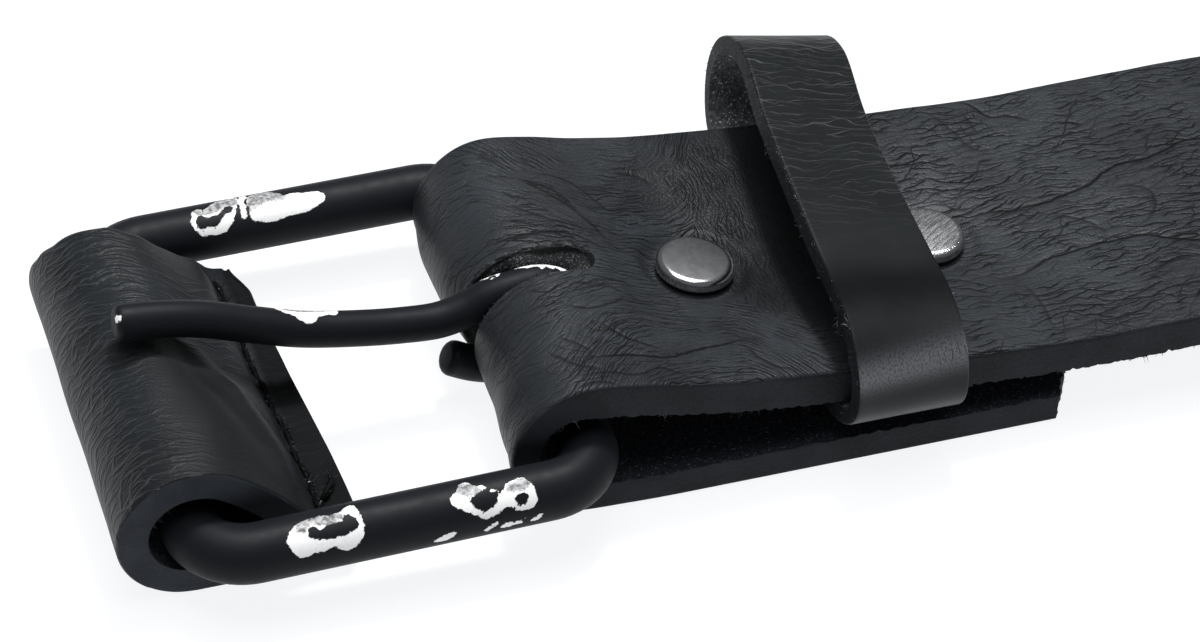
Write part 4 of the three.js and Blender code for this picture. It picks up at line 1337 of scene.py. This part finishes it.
for face in keeper.data.polygons:
    numbers = [order[i] for i in face.vertices]
    wraps = max(numbers) - min(numbers) > ring / 2
    for loop_index, i in zip(face.loop_indices, face.vertices):
        step = order[i] + (ring if wraps and order[i] < ring / 2 else 0)
        far = distance[order[i]] if step < ring else distance[-1] + 0.4
        uv[loop_index].uv = (far * 0.01, sided[i] * KEEPER_WIDTH / 2 * 0.01)
pick(keeper, "EDGE", sided[ends_of_edges(keeper)].sum(axis=1) == 0)
bpy.ops.mesh.subdivide(number_cuts=26, smoothness=0)
bpy.ops.mesh.select_all(action="SELECT")
bpy.ops.mesh.normals_make_consistent(inside=False)
done()
if np.mean(np.sum(normals(keeper)[:ring * 2] * outward[order], axis=1)) < 0:
    pick_all(keeper)
    bpy.ops.mesh.flip_normals()
    done()
move_to(keeper, places(keeper) + normals(keeper) * KEEPER_THICK / 2)
keeper_edge = cut_edge("keeper_cut_edge", (0.0110, 0.0125, 0.0150), (0.16, 0.16, 0.16), 0.66)
keeper_flesh = flesh_side("keeper_flesh_side", (0.19, 0.20, 0.215))
thicken(keeper, KEEPER_THICK, [keeper_hair(), keeper_edge, keeper_flesh])
split_cut_edges(keeper, 3)
round_corners(keeper, 0.2)
x, y, z = places(keeper).T
wrinkled = eased(y, -10, 6) * (z > 12)
# The near bend is rubbed and cracked, and the band is also painted lighter there as a highlight.
rubbed = np.exp(-((z - 12.2) / 1.3) ** 2) * (y < -16) + 0.25 * (y < -18) * np.exp(-((z - 6.5) / 1.5) ** 2)
# The top run towards the near bend is darker and more matt.
darker_and_matt = np.exp(-((y + 13.6) / 3.8) ** 2) * (z > 12)
paint(keeper, "creasing", np.clip(np.stack([wrinkled, rubbed, darker_and_matt], axis=1), 0, 1))
settle(keeper, "strap", "keeper_leather", "keeper")

# Fibres
# Loose ends of the leather's own fibres where it was cut raw: at the slot, the tail's end, the ragged borders
# and the keeper's edges, with a tuft at its near bend, and the fuzz of the seam's thread. They are a few
# hundredths of a millimetre thick.
FIBRE_THICK = (0.018, 0.040)
LOWEST = 0.03  # above the floor


def fibre_colour(name, light):
    """Dyed strands, some of them pale."""
    made, tree, shader = leather(name, 0.3)
    place = piece_place(tree)
    pale = ramped(tree, cloudy(tree, place, 1.2), 0.5, 0.7)
    tone = blended(tree, pale, (0.006, 0.0065, 0.0075), (light, light, light * 1.04))
    roughness = ramped(tree, cloudy(tree, place, 0.3), 0, 1, 0.5, 0.8)
    finished(tree, shader, tone, roughness, cloudy(tree, place, 0.2), 0.02)
    return made


def fibres(name, body, slot, roots, ways, length, spread, seed, light):
    """Short bent strands, tapered from their roots, that lean about the given directions."""
    chance = random.Random(seed)
    points, faces = [], []
    for root, way in zip(roots, ways):
        lean = Vector(way) + Vector([chance.gauss(0, spread) for _ in range(3)])
        lean.normalize()
        sag = Vector([chance.gauss(0, 0.5) for _ in range(3)])
        long = length * chance.uniform(0.35, 1.3)
        thick = chance.uniform(*FIBRE_THICK)
        side = lean.orthogonal().normalized()
        other = lean.cross(side)
        first = len(points)
        for ring in range(4):
            t = ring / 3
            middle = Vector(root) - lean * 0.05 + lean * long * t + sag * long * t * t * 0.5
            for k in range(3):
                turn = k * 2 * math.pi / 3
                spot = middle + (side * math.cos(turn) + other * math.sin(turn)) * thick * (1 - 0.75 * t)
                spot.z = max(spot.z, LOWEST)
                points.append(spot)
        for ring in range(3):
            for k in range(3):
                a, b = first + ring * 3 + k, first + ring * 3 + (k + 1) % 3
                faces.append((a, b, b + 3, a + 3))
        faces.append((first + 2, first + 1, first))
        faces.append((first + 9, first + 10, first + 11))
    mesh = bpy.data.meshes.new(name)
    mesh.from_pydata(points, [], faces)
    piece = bpy.data.objects.new(name, mesh)
    scene.collection.objects.link(piece)
    piece.data.materials.append(fibre_colour(name, light))
    settle(piece, body, slot)


def rooted(found, out, chosen, number, seed):
    """Some of the chosen vertices and their normals, more of them where the noise is high."""
    chance = random.Random(seed)
    spots = [i for i in np.flatnonzero(chosen)
             if noise.noise(Vector(found[i]) * 0.7) > chance.uniform(-0.3, 0.35)]
    picked = [chance.choice(spots) for _ in range(number)]
    return found[picked], out[picked]


found, out = in_drawing(strap)
x, y, z = found.T
roots, ways = [], []
for chosen, number in ((touching(strap, SLOT_WALL) & (z > 7) & (x < 7), 420),
                       (touching(strap, CUT, FLESH) & (x > -4), 420),
                       (touching(strap, CUT) & (z < 3.5) & (x > 44.6), 160)):
    picked, leaning = rooted(found, out, chosen, number, number)
    roots.extend(picked)
    ways.extend(leaning)
fibres("strap_fibres", "strap", "strap_leather", roots, ways, 0.42, 0.7, 1, 0.16)
found, out = in_drawing(keeper)
x, y, z = found.T
roots, ways = rooted(found, out, touching(keeper, CUT), 420, 2)
inner_roots, inner_ways = rooted(found, out, touching(keeper, FLESH) & (z > 10), 900, 3)
roots, ways = [*roots, *inner_roots], [*ways, *inner_ways]
fibres("keeper_fibres", "strap", "keeper_leather", roots, ways, 0.36, 0.8, 2, 0.42)
near_bend = (x < 25) & (y > -17.2) & (y < -15.4) & (z > 11)
roots, ways = rooted(found, out, touching(keeper, CUT) & near_bend, 70, 6)
fibres("keeper_tuft", "strap", "keeper_leather", roots, ways, 0.65, 0.7, 6, 0.55)
found, out = in_drawing(sleeve)
roots, ways = rooted(found, out, touching(sleeve, CUT, FLESH), 200, 4)
fibres("sleeve_fibres", "buckle", "sleeve_leather", roots, ways, 0.40, 0.7, 3, 0.16)
found, out = in_drawing(seam)
roots, ways = rooted(found, out, np.ones(len(found), bool), 1600, 5)
fibres("thread_fuzz", "buckle", "sleeve_leather", roots, ways, 0.62, 0.9, 5, 0.02)
